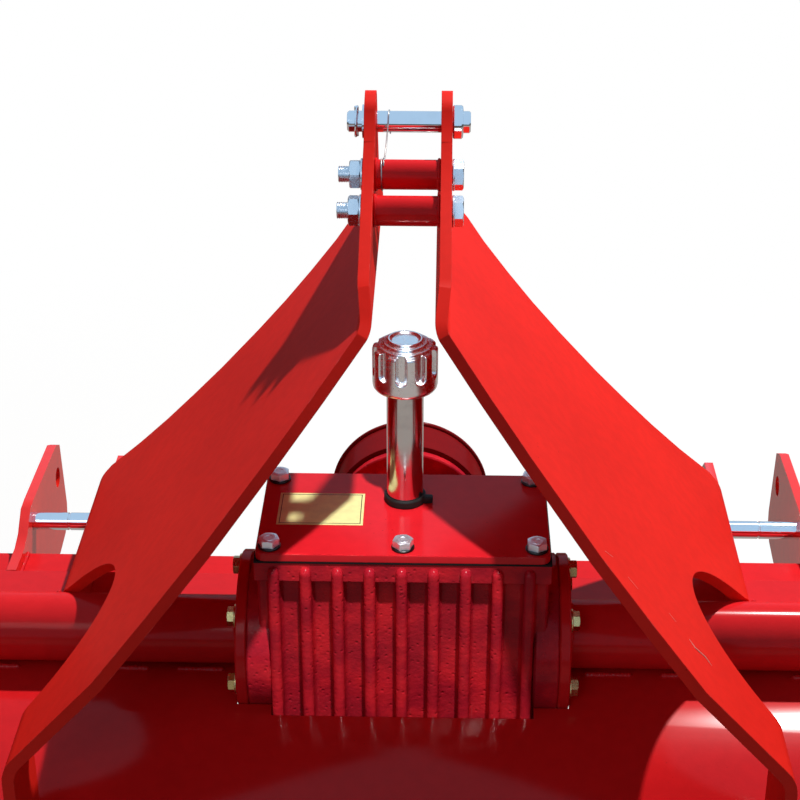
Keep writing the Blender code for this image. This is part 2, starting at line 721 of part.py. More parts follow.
def side_outline():
    """Outline of a side plate around the tube's end, the rotor's end and down to the skid."""
    shoulder = arc((0.0, 0.0), SIDE_SHOULDER, 60.0, 150.0, 6)
    rear_corner = arc(SIDE_REAR_CORNER, SIDE_REAR_RADIUS, 200.0, 270.0, 4)
    front_corner = arc(SIDE_FRONT_CORNER, SIDE_FRONT_RADIUS, 270.0, 340.0, 5)
    return shoulder + list(SIDE_REAR_EDGE) + rear_corner + front_corner + list(SIDE_FRONT_EDGE)


def side_plates():
    for name, side in SIDES:
        plate = make(
            "side_plate_" + name,
            sided(prism(side_outline(), BAR_HALF_LENGTH + SEAT, BAR_HALF_LENGTH + SEAT + SIDE_THICK, "X"),
                  side),
            "red_paint", from_axle(0.0, 0.0))
        hole = rod(SHAFT_HOLE_RADIUS, BAR_HALF_LENGTH - SIDE_THICK, BAR_HALF_LENGTH + 2.0 * SIDE_THICK, "X",
                   28, (0.0, -ROTOR_BACK, -ROTOR_DROP))
        cut(plate, sided(hole, side))
        stop = stop_place()
        face = BAR_HALF_LENGTH + SEAT
        unite(plate, sided(
            rod(STOP_RADIUS, face - STOP_LENGTH, face + SIDE_THICK / 2.0, "X", 20, (0.0, stop[0], stop[1])),
            side))
        smooth(plate)


def side_face():
    return BAR_HALF_LENGTH + SIDE_THICK + 2.0 * SEAT


def case_outline(grow):
    """Two round ends joined by tangent sides."""
    low = (-ROTOR_BACK, -ROTOR_DROP)
    lean = math.degrees(math.atan2(ROTOR_BACK, ROTOR_DROP))
    top = arc((0.0, 0.0), CASE_TOP_RADIUS + grow, -lean, 180.0 - lean, 14)
    return top + arc(low, CASE_LOW_RADIUS + grow, 180.0 - lean, 360.0 - lean, 14)


def side_drive():
    """Drive case on the left, bearing hub on the right."""
    inner = -side_face()
    case = make(
        "side_drive_case", prism(case_outline(0.0), inner - CASE_THICK, inner, "X"), "red_casting",
        from_axle(0.0, 0.0))
    cut(case, rod(STUB_RADIUS + SPIN_CLEARANCE, inner - STUB_REACH, inner + STUB_REACH, "X", 24,
                  (0.0, -ROTOR_BACK, -ROTOR_DROP)))
    smooth(case)
    cover_start = inner - CASE_THICK - SEAT
    cover = make(
        "side_case_cover",
        prism(case_outline(-CASE_COVER_INSET), cover_start - CASE_COVER_THICK, cover_start, "X"),
        "red_paint", from_axle(0.0, 0.0))
    smooth(cover)
    start = side_face()
    bore = STUB_RADIUS + SPIN_CLEARANCE
    bore_end = start + STUB_REACH - HUB_CHAMFER
    cap_end = start + HUB_CAP_THICK
    profile = [
        (bore, start), (HUB_RADIUS, start), (HUB_RADIUS, start + HUB_THICK),
        (HUB_CAP_RADIUS + HUB_CHAMFER, start + HUB_THICK),
        (HUB_CAP_RADIUS, start + HUB_THICK + HUB_CHAMFER), (HUB_CAP_RADIUS, cap_end - HUB_CHAMFER),
        (HUB_CAP_RADIUS - HUB_CHAMFER, cap_end), (0.0, cap_end), (0.0, bore_end), (bore, bore_end)]
    hub = make("rotor_hub_right", turned(profile, "X", 32), "red_casting",
               from_axle(-ROTOR_BACK, -ROTOR_DROP))
    smooth(hub)


def skids():
    """Runner with an upturned nose and the flange that bolts to the side plate."""
    floor = -AXLE_Z + SKID_THICK / 2.0
    nose_centre = (SKID_FRONT, floor + SKID_NOSE_RADIUS)
    path = [(SKID_REAR, floor)] + arc(nose_centre, SKID_NOSE_RADIUS, 270.0, 270.0 + SKID_NOSE_DEGREES, 7)
    inner = side_face()
    for name, side in SIDES:
        skid = make(
            "skid_" + name, sided(prism(strip(path, SKID_THICK), inner, inner + SKID_WIDTH, "X"), side),
            "red_paint", from_axle(0.0, 0.0))
        back = SKID_REAR + SKID_FLANGE_BACK
        ahead = SKID_FRONT + SKID_FLANGE_AHEAD
        top = floor + SKID_FLANGE_HEIGHT
        flange = [(back, floor), (SKID_FRONT, floor), (ahead, floor + SKID_FLANGE_BACK), (ahead, top),
                  (back, top)]
        unite(skid, sided(prism(flange, inner, inner + SKID_FLANGE_THICK, "X"), side))
        smooth(skid)


def tine(lean):
    """One L shaped blade that points along +Z, its outer end turned to one side."""
    path = [(x + TINE_THICK / 2.0, z) for x, z, rear, front in TINE_RINGS]
    left = offset_points(path, TINE_THICK / 2.0)
    right = offset_points(path, -TINE_THICK / 2.0)
    mesh = bmesh.new()
    rings = []
    for index, (x, z, rear, front) in enumerate(TINE_RINGS):
        ring = []
        for point, y in ((left[index], rear), (right[index], rear), (right[index], front),
                         (left[index], front)):
            ring.append(mesh.verts.new((point[0], y, point[1])))
        rings.append(ring)
    for first, second in zip(rings, rings[1:]):
        for corner in range(4):
            follow = (corner + 1) % 4
            mesh.faces.new((first[corner], first[follow], second[follow], second[corner]))
    mesh.faces.new(rings[0])
    mesh.faces.new(rings[-1])
    bmesh.ops.recalc_face_normals(mesh, faces=mesh.faces)
    return sided(mesh, lean)


def rotor():
    """Rotor shaft with its flanges and tines, all one welded and bolted piece."""
    stub_end = side_face() + STUB_REACH - STUB_END_GAP
    profile = [(0.0, -stub_end), (STUB_RADIUS, -stub_end), (STUB_RADIUS, -ROTOR_HALF_LENGTH),
               (ROTOR_TUBE_RADIUS, -ROTOR_HALF_LENGTH)]
    places = [(station - (STATION_COUNT - 1) / 2.0) * STATION_PITCH for station in range(STATION_COUNT)]
    for place in places:
        low = place - STATION_THICK / 2.0
        high = place + STATION_THICK / 2.0
        profile += [(ROTOR_TUBE_RADIUS, low), (STATION_RADIUS, low), (STATION_RADIUS, high),
                    (ROTOR_TUBE_RADIUS, high)]
    profile += [(ROTOR_TUBE_RADIUS, ROTOR_HALF_LENGTH), (STUB_RADIUS, ROTOR_HALF_LENGTH),
                (STUB_RADIUS, stub_end), (0.0, stub_end)]
    shaft = make("rotor", turned(profile, "X", 24), "black_paint", from_axle(-ROTOR_BACK, -ROTOR_DROP))
    for station, place in enumerate(places):
        for index in range(TINES_PER_STATION):
            lean = 1 if index % 2 == 0 else -1
            angle = math.tau * (index + station / STATION_COUNT) / TINES_PER_STATION
            mesh = tine(lean)
            shift = place + lean * (STATION_THICK / 2.0 - SPIN_CLEARANCE)
            bmesh.ops.translate(mesh, vec=(shift, 0.0, 0.0), verts=mesh.verts)
            bmesh.ops.rotate(
                mesh, cent=(0.0, 0.0, 0.0), matrix=Matrix.Rotation(angle, 3, "X"), verts=mesh.verts)
            unite(shaft, mesh)
    smooth(shaft)


def hinge_place():
    """Hinge line of the rear board, just below the end of the hood's sheet."""
    end = hood_path()[-1]
    return (end[0], end[1] - HINGE_DROP)


def knuckle_place(index):
    """Lowest and highest X of a knuckle."""
    middle = (index - (KNUCKLE_COUNT - 1) / 2.0) * KNUCKLE_PITCH
    return (middle - KNUCKLE_LENGTH / 2.0, middle + KNUCKLE_LENGTH / 2.0)


def add_knuckles(part, indices, shift, strap_end):
    """Weld hinge knuckles on a sheet, each with a strap that laps the sheet; shift is the hinge line."""
    reach = (KNUCKLE_RADIUS + HINGE_RADIUS) / 2.0
    strap_start = Vector(strap_end).normalized() * reach
    strap = strip([tuple(strap_start), strap_end], KNUCKLE_STRAP)
    for index in indices:
        low, high = knuckle_place(index)
        for mesh in (
                prism(strap, low, high, "X"),
                pipe(KNUCKLE_RADIUS, HINGE_RADIUS + HINGE_PLAY, low, high, "X", 16)):
            bmesh.ops.translate(mesh, vec=(0.0, shift[0], shift[1]), verts=mesh.verts)
            unite(part, mesh)


def stop_place():
    """Middle of the round stop that the rear board leans on."""
    above = Vector(BOARD_PATH[1])
    below = Vector(BOARD_PATH[2])
    along = (below - above).normalized()
    away = Vector((-along.y, along.x))
    middle = (above + below) / 2.0 + away * (BOARD_THICK / 2.0 + STOP_RADIUS + SEAT)
    hinge = hinge_place()
    return (hinge[0] + middle.x, hinge[1] + middle.y)


def rear_board():
    """Hinged board behind the rotor, which hangs on two stops of the side plates."""
    hinge = hinge_place()
    hinge_rod = make(
        "hinge_rod", rod(HINGE_RADIUS, -BOARD_HALF_WIDTH, BOARD_HALF_WIDTH, "X", 16), "zinc",
        from_axle(hinge[0], hinge[1]))
    smooth(hinge_rod)
    board = make(
        "rear_board",
        prism(strip(BOARD_PATH, BOARD_THICK), -BOARD_HALF_WIDTH, BOARD_HALF_WIDTH, "X"), "red_paint",
        from_axle(hinge[0], hinge[1]))
    add_knuckles(board, range(1, KNUCKLE_COUNT, 2), (0.0, 0.0), BOARD_STRAP_END)
    smooth(board)


def parking_leg():
    """Square leg in a socket on the front of the hitch bar, held by a screw with a cross bar."""
    inner = LEG_SIZE + 2.0 * LEG_PLAY
    outer = inner + 2.0 * SOCKET_WALL
    socket_y = BAR_REAR + BAR_DEPTH + SEAT + outer / 2.0
    socket_z = BAR_TOP - BAR_HEIGHT / 2.0
    socket = make(
        "leg_socket", block((outer, outer, SOCKET_HEIGHT), (0.0, 0.0, 0.0)), "red_paint",
        from_axle(socket_y, socket_z, LEG_X))
    cut(socket, block((inner, inner, 2.0 * SOCKET_HEIGHT), (0.0, 0.0, 0.0)))
    cut(socket, rod(SCREW_RADIUS + SEAT, 0.0, outer, "Y", 20))
    # The screw presses the leg against the wall on the bar's side
    lean = LEG_PLAY - SEAT
    leg_y = socket_y - lean
    foot_low = -AXLE_Z + FOOT_LIFT
    leg = make(
        "parking_leg", block((FOOT_SIZE, FOOT_SIZE, FOOT_THICK), (0.0, FOOT_SHIFT, FOOT_THICK / 2.0)),
        "red_paint", from_axle(leg_y, foot_low, LEG_X))
    unite(leg, block((LEG_SIZE, LEG_SIZE, LEG_LENGTH), (0.0, 0.0, LEG_LENGTH / 2.0)))
    tip = LEG_SIZE / 2.0 - lean + SEAT
    screw = make(
        "leg_clamp_screw", rod(SCREW_RADIUS, tip, tip + SCREW_REACH, "Y", 20), "zinc",
        from_axle(socket_y, socket_z, LEG_X))
    unite(screw, rod(
        SCREW_BAR_RADIUS, -SCREW_BAR_LENGTH / 2.0, SCREW_BAR_LENGTH / 2.0, "X", 12,
        (0.0, tip + SCREW_REACH - 2.0 * SCREW_BAR_RADIUS, 0.0)))
    smooth(screw)


gearbox()
gearbox_top()
input_drive()
cross_tube()
hitch()
mast()
hood()
side_plates()
side_drive()
skids()
rotor()
rear_board()
parking_leg()
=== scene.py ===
"""Looks of the rotary tiller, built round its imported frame."""

import json
import math

import bmesh
import bpy
from mathutils import Matrix, Vector

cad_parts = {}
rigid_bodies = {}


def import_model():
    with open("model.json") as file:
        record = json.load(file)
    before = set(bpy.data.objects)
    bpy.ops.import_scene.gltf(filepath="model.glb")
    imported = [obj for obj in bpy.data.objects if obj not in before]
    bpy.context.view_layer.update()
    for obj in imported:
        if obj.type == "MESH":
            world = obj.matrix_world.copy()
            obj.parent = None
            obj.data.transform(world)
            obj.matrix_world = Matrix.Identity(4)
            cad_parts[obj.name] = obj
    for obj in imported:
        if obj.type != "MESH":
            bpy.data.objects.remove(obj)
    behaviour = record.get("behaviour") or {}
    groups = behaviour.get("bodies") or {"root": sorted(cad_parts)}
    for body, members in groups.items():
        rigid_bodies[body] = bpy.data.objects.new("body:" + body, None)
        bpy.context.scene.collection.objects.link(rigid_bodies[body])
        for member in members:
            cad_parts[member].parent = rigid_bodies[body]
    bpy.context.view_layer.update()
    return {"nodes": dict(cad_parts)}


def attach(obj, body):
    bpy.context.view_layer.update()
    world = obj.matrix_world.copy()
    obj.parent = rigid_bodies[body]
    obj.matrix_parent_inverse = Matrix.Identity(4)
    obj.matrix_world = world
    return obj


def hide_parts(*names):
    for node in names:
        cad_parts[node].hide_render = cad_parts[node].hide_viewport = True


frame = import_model()
NODES = frame["nodes"]

# Middle of the cross tube, from which every other place is given
AXLE = Vector((0.0, 0.0035, 0.532))
# Rotor axis in Y and Z
ROTOR_AXIS = (-0.016, -0.305)
TUBE_RADIUS = 0.0315
# End of the cross tube, at the inner face of a side plate
TUBE_END = 0.62
FLANGE_RADIUS = 0.074
HOOD_RADIUS = 0.2735
SIDES = (("left", -1), ("right", 1))

# Node helpers


class Tree:
    """Adds and links nodes in a material or a node group."""

    def __init__(self, tree):
        self.tree = tree

    def link(self, source, target):
        self.tree.links.new(source, target)

    def give(self, node, given):
        """Sets inputs by name or number, each from a value or from another node's output."""
        for name, value in given.items():
            socket = node.inputs[name]
            if isinstance(value, bpy.types.NodeSocket):
                self.link(value, socket)
            elif isinstance(value, tuple) and socket.type == "RGBA":
                socket.default_value = (*value, 1.0)
            else:
                socket.default_value = value

    def add(self, kind, given=None, **settings):
        node = self.tree.nodes.new(kind)
        for name, value in settings.items():
            setattr(node, name, value)
        self.give(node, given or {})
        return node

    def math(self, operation, first, second, clamp=False):
        node = self.add("ShaderNodeMath", {0: first, 1: second}, operation=operation, use_clamp=clamp)
        return node.outputs[0]

    def length(self, vector):
        return self.add("ShaderNodeVectorMath", {0: vector}, operation="LENGTH").outputs["Value"]

    def noise(self, vector, scale, detail=3.0, roughness=0.5):
        node = self.add("ShaderNodeTexNoise", {"Vector": vector, "Scale": scale, "Detail": detail,
                                               "Roughness": roughness})
        return node.outputs["Fac"]

    def cells(self, vector, scale):
        return self.add("ShaderNodeTexVoronoi", {"Vector": vector, "Scale": scale}).outputs["Distance"]

    def step(self, value, low, high, out_low=0.0, out_high=1.0):
        node = self.add("ShaderNodeMapRange", {"Value": value, "From Min": low, "From Max": high,
                                               "To Min": out_low, "To Max": out_high},
                        interpolation_type="SMOOTHSTEP", clamp=True)
        return node.outputs["Result"]

    def mix(self, mask, first, second):
        return self.add("ShaderNodeMix", {0: mask, 6: first, 7: second}, data_type="RGBA").outputs[2]

    def stretch(self, vector, scale):
        return self.add("ShaderNodeMapping", {"Vector": vector, "Scale": scale}).outputs["Vector"]


def node_group(name, inputs, outputs, kind="Shader"):
    """A node group with its sockets, given as rows of name and kind of socket."""
    group = bpy.data.node_groups.new(name, kind + "NodeTree")
    for way, rows in (("INPUT", inputs), ("OUTPUT", outputs)):
        for socket_name, socket_kind in rows:
            group.interface.new_socket(socket_name, in_out=way, socket_type="NodeSocket" + socket_kind)
    tree = Tree(group)
    return group, tree, tree.add("NodeGroupInput").outputs, tree.add("NodeGroupOutput").inputs


def edge_group():
    """Mask of the worn, thin paint along sharp edges, broken up by noise."""
    group, tree, given, result = node_group(
        "edge_wear", (("Vector", "Vector"), ("Width", "Float")), (("Mask", "Float"),))
    rounded = tree.add("ShaderNodeBevel", {"Radius": given["Width"]}, samples=4).outputs["Normal"]
    plain = tree.add("ShaderNodeNewGeometry").outputs["Normal"]
    turn = tree.add("ShaderNodeVectorMath", {0: rounded, 1: plain}, operation="DOT_PRODUCT")
    edge = tree.step(tree.math("SUBTRACT", 1.0, turn.outputs["Value"]), 0.02, 0.16)
    broken = tree.step(tree.noise(given["Vector"], 60.0, 4.0, 0.65), 0.52, 0.66)
    tree.link(tree.math("MULTIPLY", edge, broken, clamp=True), result["Mask"])
    return group


def tone_group():
    """Slow change of shade and small spots of a sprayed surface, as a factor round 1 and a mask."""
    group, tree, given, result = node_group(
        "spray_tone", (("Vector", "Vector"),), (("Shade", "Float"), ("Specks", "Float")))
    place = given["Vector"]
    slow = tree.step(tree.noise(place, 5.0, 2.0), 0.3, 0.7, 0.93, 1.05)
    fine = tree.step(tree.noise(place, 90.0), 0.3, 0.7, 0.97, 1.03)
    tree.link(tree.math("MULTIPLY", slow, fine), result["Shade"])
    spots = tree.step(tree.cells(place, 130.0), 0.06, 0.11, 1.0, 0.0)
    thinned = tree.step(tree.noise(place, 24.0, 2.0), 0.6, 0.68)
    tree.link(tree.math("MULTIPLY", spots, thinned), result["Specks"])
    return group


def skin_group():
    """Height of sand cast skin: coarse grains over slow waves, with pits."""
    group, tree, given, result = node_group("cast_skin", (("Vector", "Vector"),), (("Height", "Float"),))
    place = given["Vector"]
    waves = tree.math("MULTIPLY", tree.noise(place, 45.0), 1.6)
    grains = tree.math("MULTIPLY", tree.noise(place, 260.0, 4.0, 0.6), 0.8)
    pits = tree.step(tree.cells(place, 150.0), 0.0, 0.3, -0.7, 0.0)
    tree.link(tree.math("ADD", tree.math("ADD", waves, grains), pits), result["Height"])
    return group


EDGE = edge_group()
TONE = tone_group()
SKIN = skin_group()


def use_group(tree, group, vector, **values):
    return tree.add("ShaderNodeGroup", {"Vector": vector, **values}, node_tree=group).outputs


def start_material(name):
    material = bpy.data.materials.new(name)
    material.use_nodes = True
    tree = Tree(material.node_tree)
    shader = material.node_tree.nodes["Principled BSDF"]
    return material, tree, shader, tree.add("ShaderNodeTexCoord").outputs["Object"]


def add_bump(tree, shader, height, distance, rounding):
    """Bump of a height, over edges that look rounded by a small radius."""
    rounded = tree.add("ShaderNodeBevel", {"Radius": rounding}, samples=4).outputs["Normal"]
    bump = tree.add("ShaderNodeBump", {"Height": height, "Distance": distance, "Strength": 1.0,
                                       "Normal": rounded})
    tree.link(bump.outputs["Normal"], shader.inputs["Normal"])


RED = (0.78, 0.02, 0.013)
RED_WORN = (0.85, 0.13, 0.12)


def paint(name, colour, worn=RED_WORN, rough=0.3, peel=0.00006, coat=0.35, coat_rough=0.16):
    """Sprayed gloss paint: shade, specks, worn edges, orange peel and a clear top."""
    material, tree, shader, place = start_material(name)
    tone = use_group(tree, TONE, place)
    edge = use_group(tree, EDGE, place, Width=0.0012)["Mask"]
    tinted = tree.add("ShaderNodeVectorMath", {0: colour, "Scale": tone["Shade"]}, operation="SCALE")
    dark = tuple(part * 0.35 for part in colour)
    spotted = tree.mix(tree.math("MULTIPLY", tone["Specks"], 0.55), tinted.outputs[0], dark)
    uneven = tree.step(tree.noise(place, 12.0), 0.3, 0.75, rough * 0.8, rough * 1.25)
    tree.give(shader, {
        "Base Color": tree.mix(edge, spotted, worn),
        "Roughness": tree.math("ADD", uneven, tree.math("MULTIPLY", edge, 0.2)),
        "Specular IOR Level": 0.0, "Coat Weight": coat, "Coat Roughness": coat_rough})
    add_bump(tree, shader, tree.noise(place, 420.0, 2.0, 0.4), peel, 0.0009)
    return material


def casting(name, colour, dark):
    """Gloss paint over a rough casting, with painted shade: a darker colour mixed in by noise patches, meant
    for the shade of the hollows though it does not follow them.
    """
    material, tree, shader, place = start_material(name)
    shaded = tree.mix(tree.step(tree.noise(place, 30.0, 4.0), 0.35, 0.7), dark, colour)
    edge = tree.math("MULTIPLY", use_group(tree, EDGE, place, Width=0.003)["Mask"], 0.6)
    tree.give(shader, {
        "Base Color": tree.mix(edge, shaded, (0.6, 0.05, 0.06)),
        "Roughness": tree.step(tree.noise(place, 80.0), 0.3, 0.7, 0.22, 0.45),
        "Specular IOR Level": 0.0, "Coat Weight": 0.2, "Coat Roughness": 0.18})
    add_bump(tree, shader, use_group(tree, SKIN, place)["Height"], 0.0008, 0.0012)
    return material


def plated(name, colour, rough, grain, stains=0.25, brushed=(1.0, 1.0, 1.0)):
    """Plated or machined metal with a fine grain, dull stains and a slight colour change."""
    material, tree, shader, place = start_material(name)
    lines = tree.noise(tree.stretch(place, brushed), grain, 4.0, 0.6)
    clouds = tree.step(tree.noise(place, 60.0, 4.0, 0.6), 0.45, 0.75, 0.0, stains)
    grained = tree.step(lines, 0.3, 0.7, rough * 0.85, rough * 1.15)
    tree.give(shader, {
        "Base Color": tree.mix(clouds, colour, tuple(part * 0.62 for part in colour)),
        "Roughness": tree.math("ADD", grained, tree.math("MULTIPLY", clouds, 0.3)), "Metallic": 1.0})
    add_bump(tree, shader, lines, 0.000004, 0.0005)
    return material


def matt(name, colour, rough, grain, tooth):
    """Rubber or dull paint with a fine tooth."""
    material, tree, shader, place = start_material(name)
    tone = tree.step(tree.noise(place, grain * 0.2), 0.3, 0.7)
    tree.give(shader, {
        "Base Color": tree.mix(tone, tuple(part * 0.88 for part in colour), colour),
        "Roughness": rough, "Specular IOR Level": 0.15})
    add_bump(tree, shader, tree.noise(place, grain, 4.0, 0.6), tooth, 0.0006)
    return material


def worn_black(name):
    """Black paint of the rotor, worn to bright steel by soil towards the tips of the tines."""
    material, tree, shader, place = start_material(name)
    axis = tuple(AXLE + Vector((0.0, *ROTOR_AXIS)))
    away = tree.add("ShaderNodeVectorMath", {0: place, 1: axis}, operation="SUBTRACT").outputs[0]
    ragged = tree.math("MULTIPLY", tree.noise(place, 40.0, 4.0, 0.6), 0.05)
    reach = tree.math("ADD", tree.length(tree.stretch(away, (0.0, 1.0, 1.0))), ragged)
    worn = tree.step(reach, 0.17, 0.225)
    tree.give(shader, {
        "Base Color": tree.mix(worn, (0.018, 0.018, 0.019), (0.42, 0.4, 0.37)),
        "Metallic": worn, "Roughness": tree.step(worn, 0.0, 1.0, 0.42, 0.3)})
    add_bump(tree, shader, tree.noise(place, 300.0), 0.00008, 0.0008)
    return material


FINISHES = (
    ("plate_paint", paint, dict(colour=RED, coat=0.18, coat_rough=0.34)),
    ("tube_paint", paint, dict(colour=(0.66, 0.014, 0.018), rough=0.26, peel=0.00012, coat=0.22)),
    ("ear_paint", paint, dict(colour=RED, peel=0.00004, coat=0.85)),
    ("cover_paint", paint, dict(colour=(0.64, 0.014, 0.022), rough=0.22, peel=0.00004)),
    ("sheet_paint", paint, dict(colour=(0.62, 0.011, 0.014), rough=0.34, peel=0.0001)),
    ("weld_paint", paint, dict(colour=(0.62, 0.013, 0.018), peel=0.00012)),
    # The shield's dark maroon is painted shade: the cup's paint is darkened to stand for the shade it is seen
    # in
    ("shield_paint", paint, dict(colour=(0.2, 0.008, 0.01), worn=(0.3, 0.03, 0.03), rough=0.4,
                                 coat=0.06)),
    # The casting's dark colour is painted shade, mixed in by noise patches
    ("casting", casting, dict(colour=(0.66, 0.018, 0.03), dark=(0.4, 0.01, 0.024))),
    ("zinc", plated, dict(colour=(0.8, 0.82, 0.85), rough=0.26, grain=700.0, stains=0.12)),
    ("dull_zinc", plated, dict(colour=(0.88, 0.89, 0.9), rough=0.48, grain=500.0, stains=0.08)),
    ("yellow_zinc", plated, dict(colour=(0.6, 0.46, 0.2), rough=0.28, grain=500.0)),
    ("chrome", plated, dict(colour=(0.86, 0.86, 0.88), rough=0.06, grain=300.0, stains=0.1)),
    ("cap_chrome", plated, dict(colour=(0.9, 0.9, 0.91), rough=0.24, grain=300.0, stains=0.15)),
    ("pipe_plate", plated, dict(colour=(0.7, 0.69, 0.68), rough=0.15, grain=60.0, stains=0.35,
                                brushed=(1.0, 1.0, 9.0))),
    ("bare_steel", plated, dict(colour=(0.4, 0.38, 0.36), rough=0.34, grain=200.0, stains=0.5)),
    # Black of the cover washers, painted shade round the screw heads
    ("black_steel", plated, dict(colour=(0.06, 0.058, 0.056), rough=0.38, grain=300.0, stains=0.4)),
    ("rubber", matt, dict(colour=(0.02, 0.019, 0.019), rough=0.55, grain=900.0, tooth=0.0001)),
    ("gasket", matt, dict(colour=(0.012, 0.01, 0.01), rough=0.7, grain=700.0, tooth=0.0001)),
    ("primer", matt, dict(colour=(0.8, 0.34, 0.3), rough=0.5, grain=600.0, tooth=0.00002)),
    ("plate_yellow", matt, dict(colour=(0.88, 0.85, 0.38), rough=0.38, grain=500.0, tooth=0.00001)),
    ("plate_ink", matt, dict(colour=(0.03, 0.028, 0.02), rough=0.45, grain=500.0, tooth=0.00002)),
    ("rotor_black", worn_black, {}),
)
MATERIALS = {name: make(name, **values) for name, make, values in FINISHES}

# Finish of the CAD nodes: for each material the nodes or prefixes, each with the width of its rounded edge
DRESS = {
    "plate_paint": {"mast_plate": 0.0012, "side_plate": 0.001, "skid": 0.0008, "parking_leg": 0.0015,
                    "leg_socket": 0.0015},
    "tube_paint": {"mast_spacer": 0.0008, "hitch_bar": 0.0035, "axle_tube": 0.001},
    "ear_paint": {"hitch_ear": 0.001},
    "cover_paint": {"gearbox_cover": 0.0009},
    "sheet_paint": {"hood": 0.0, "rear_board": 0.0, "side_case_cover": 0.001},
    "shield_paint": {"pto_shield": 0.0},
    "casting": {"gearbox_housing": 0.0, "input_flange": 0.0015, "side_drive_case": 0.004,
                "rotor_hub_right": 0.001},
    "zinc": {"mast_bolt": 0.0005, "hinge_rod": 0.0005, "leg_clamp_screw": 0.0005},
    "chrome": {"top_link_pin": 0.0008, "lower_pin": 0.0008, "breather_cap": 0.0},
    "pipe_plate": {"filler_pipe": 0.0006},
    "bare_steel": {"input_shaft": 0.0005},
    "rubber": {"filler_collar": 0.0008},
    "rotor_black": {"rotor": 0.0},
}


def round_shading_group():
    """Geometry nodes that shade smoothly between sharp edges."""
    group, tree, given, result = node_group(
        "round_shading", (("Geometry", "Geometry"),), (("Geometry", "Geometry"),), "Geometry")
    faces = tree.add("GeometryNodeSetShadeSmooth", {"Geometry": given[0]}, domain="FACE")
    angle = tree.add("GeometryNodeInputMeshEdgeAngle").outputs["Unsigned Angle"]
    sharp = tree.add("FunctionNodeCompare", {"A": angle, "B": math.radians(38.0)}, data_type="FLOAT",
                     operation="GREATER_THAN")
    edges = tree.add("GeometryNodeSetShadeSmooth", {
        "Geometry": faces.outputs[0], "Selection": sharp.outputs[0], "Shade Smooth": False}, domain="EDGE")
    tree.link(edges.outputs[0], result[0])
    return group


ROUND_SHADING = round_shading_group()


def soften(node, width):
    """Rounded edges and smooth shading by modifiers, with the vertices of the node left as they are."""
    node.modifiers.new("join", "WELD").merge_threshold = 0.00002
    if width > 0.0:
        flat = node.modifiers.new("flat", "DECIMATE")
        flat.decimate_type = "DISSOLVE"
        flat.angle_limit = math.radians(0.4)
        bevel = node.modifiers.new("edges", "BEVEL")
        bevel.width = width
        bevel.segments = 2
        bevel.limit_method = "ANGLE"
        bevel.angle_limit = math.radians(42.0)
        bevel.use_clamp_overlap = True
    node.modifiers.new("shading", "NODES").node_group = ROUND_SHADING
    node.modifiers.new("even", "WEIGHTED_NORMAL").keep_sharp = True


def dress_nodes():
    """Gives each node the finish with the longest prefix that its name starts with."""
    rows = [(prefix, material, width) for material, prefixes in DRESS.items()
            for prefix, width in prefixes.items()]
    for name, node in NODES.items():
        fitting = [row for row in rows if name.startswith(row[0])]
        material, width = max(fitting, key=lambda row: len(row[0]))[1:]
        node.data.materials.clear()
        node.data.materials.append(MATERIALS[material])
        soften(node, width)


dress_nodes()

# Mesh helpers


def arc_points(centre, radius, start, end, steps):
    points = []
    for step in range(steps + 1):
        angle = math.radians(start + (end - start) * step / steps)
        points.append((centre[0] + radius * math.cos(angle), centre[1] + radius * math.sin(angle)))
    return points


def arc_about_x(x, centre, radius, start, end, steps):
    """Places on an arc in Y and Z; x is one value, or the values at its two ends."""
    first, last = x if isinstance(x, tuple) else (x, x)
    arc = arc_points(centre, radius, start, end, steps)
    return [(first + (last - first) * step / steps, y, z) for step, (y, z) in enumerate(arc)]


def run_lengths(spots):
    """Length along a run of places up to each of them."""
    lengths = [0.0]
    for first, second in zip(spots, spots[1:]):
        lengths.append(lengths[-1] + (second - first).length)
    return lengths


def stretch_at(lengths, target):
    """Number of the stretch of a run that holds a length, and the share of that stretch before it."""
    before = sum(1 for length in lengths if length < target - 1e-7)
    index = max(0, min(len(lengths) - 2, before - 1))
    return index, (target - lengths[index]) / (lengths[index + 1] - lengths[index])


def on_axis(axis, along, first, second):
    return {"X": (along, first, second), "Y": (second, along, first), "Z": (first, second, along)}[axis]


def skinned(mesh, rings, wrap=False):
    """Closes the skin over rings of corners, with end faces or wrapped round; one corner alone is a pole."""
    pairs = list(zip(rings, rings[1:]))
    if wrap:
        pairs.append((rings[-1], rings[0]))
    else:
        for end in (rings[0], rings[-1]):
            if len(end) > 1:
                mesh.faces.new(end)
    for first, second in pairs:
        sides = max(len(first), len(second))
        for side in range(sides):
            follow = (side + 1) % sides
            corners = []
            for ring, index in ((first, side), (first, follow), (second, follow), (second, side)):
                corner = ring[index % len(ring)]
                if corner not in corners:
                    corners.append(corner)
            mesh.faces.new(corners)
    bmesh.ops.recalc_face_normals(mesh, faces=mesh.faces)
    return mesh


def lathe(profile, axis="Z", sides=64, centre=(0.0, 0.0, 0.0), shape=None):
    """Closed mesh turned about an axis from (radius, place along it); shape may change each radius."""
    mesh = bmesh.new()
    rings = []
    for radius, along in profile:
        ring = []
        for side in range(sides if radius > 0.0 else 1):
            angle = math.tau * side / sides
            here = shape(radius, along, angle) if shape else radius
            spot = on_axis(axis, along, here * math.cos(angle), here * math.sin(angle))
            ring.append(mesh.verts.new(Vector(spot) + Vector(centre)))
        rings.append(ring)
    return skinned(mesh, rings, profile[0][0] > 0.0)


def hoop(bore, outer, low, high, **place):
    """Plain flat ring."""
    return lathe([(bore, low), (outer, low), (outer, high), (bore, high)], **place)


def rimmed(bore, outer, low, high, across, along, **place):
    """Flat ring whose outer rim is bevelled by a width across and a width along the axis."""
    return lathe([(bore, low), (outer - across, low), (outer, low + along), (outer, high - along),
                  (outer - across, high), (bore, high)], **place)


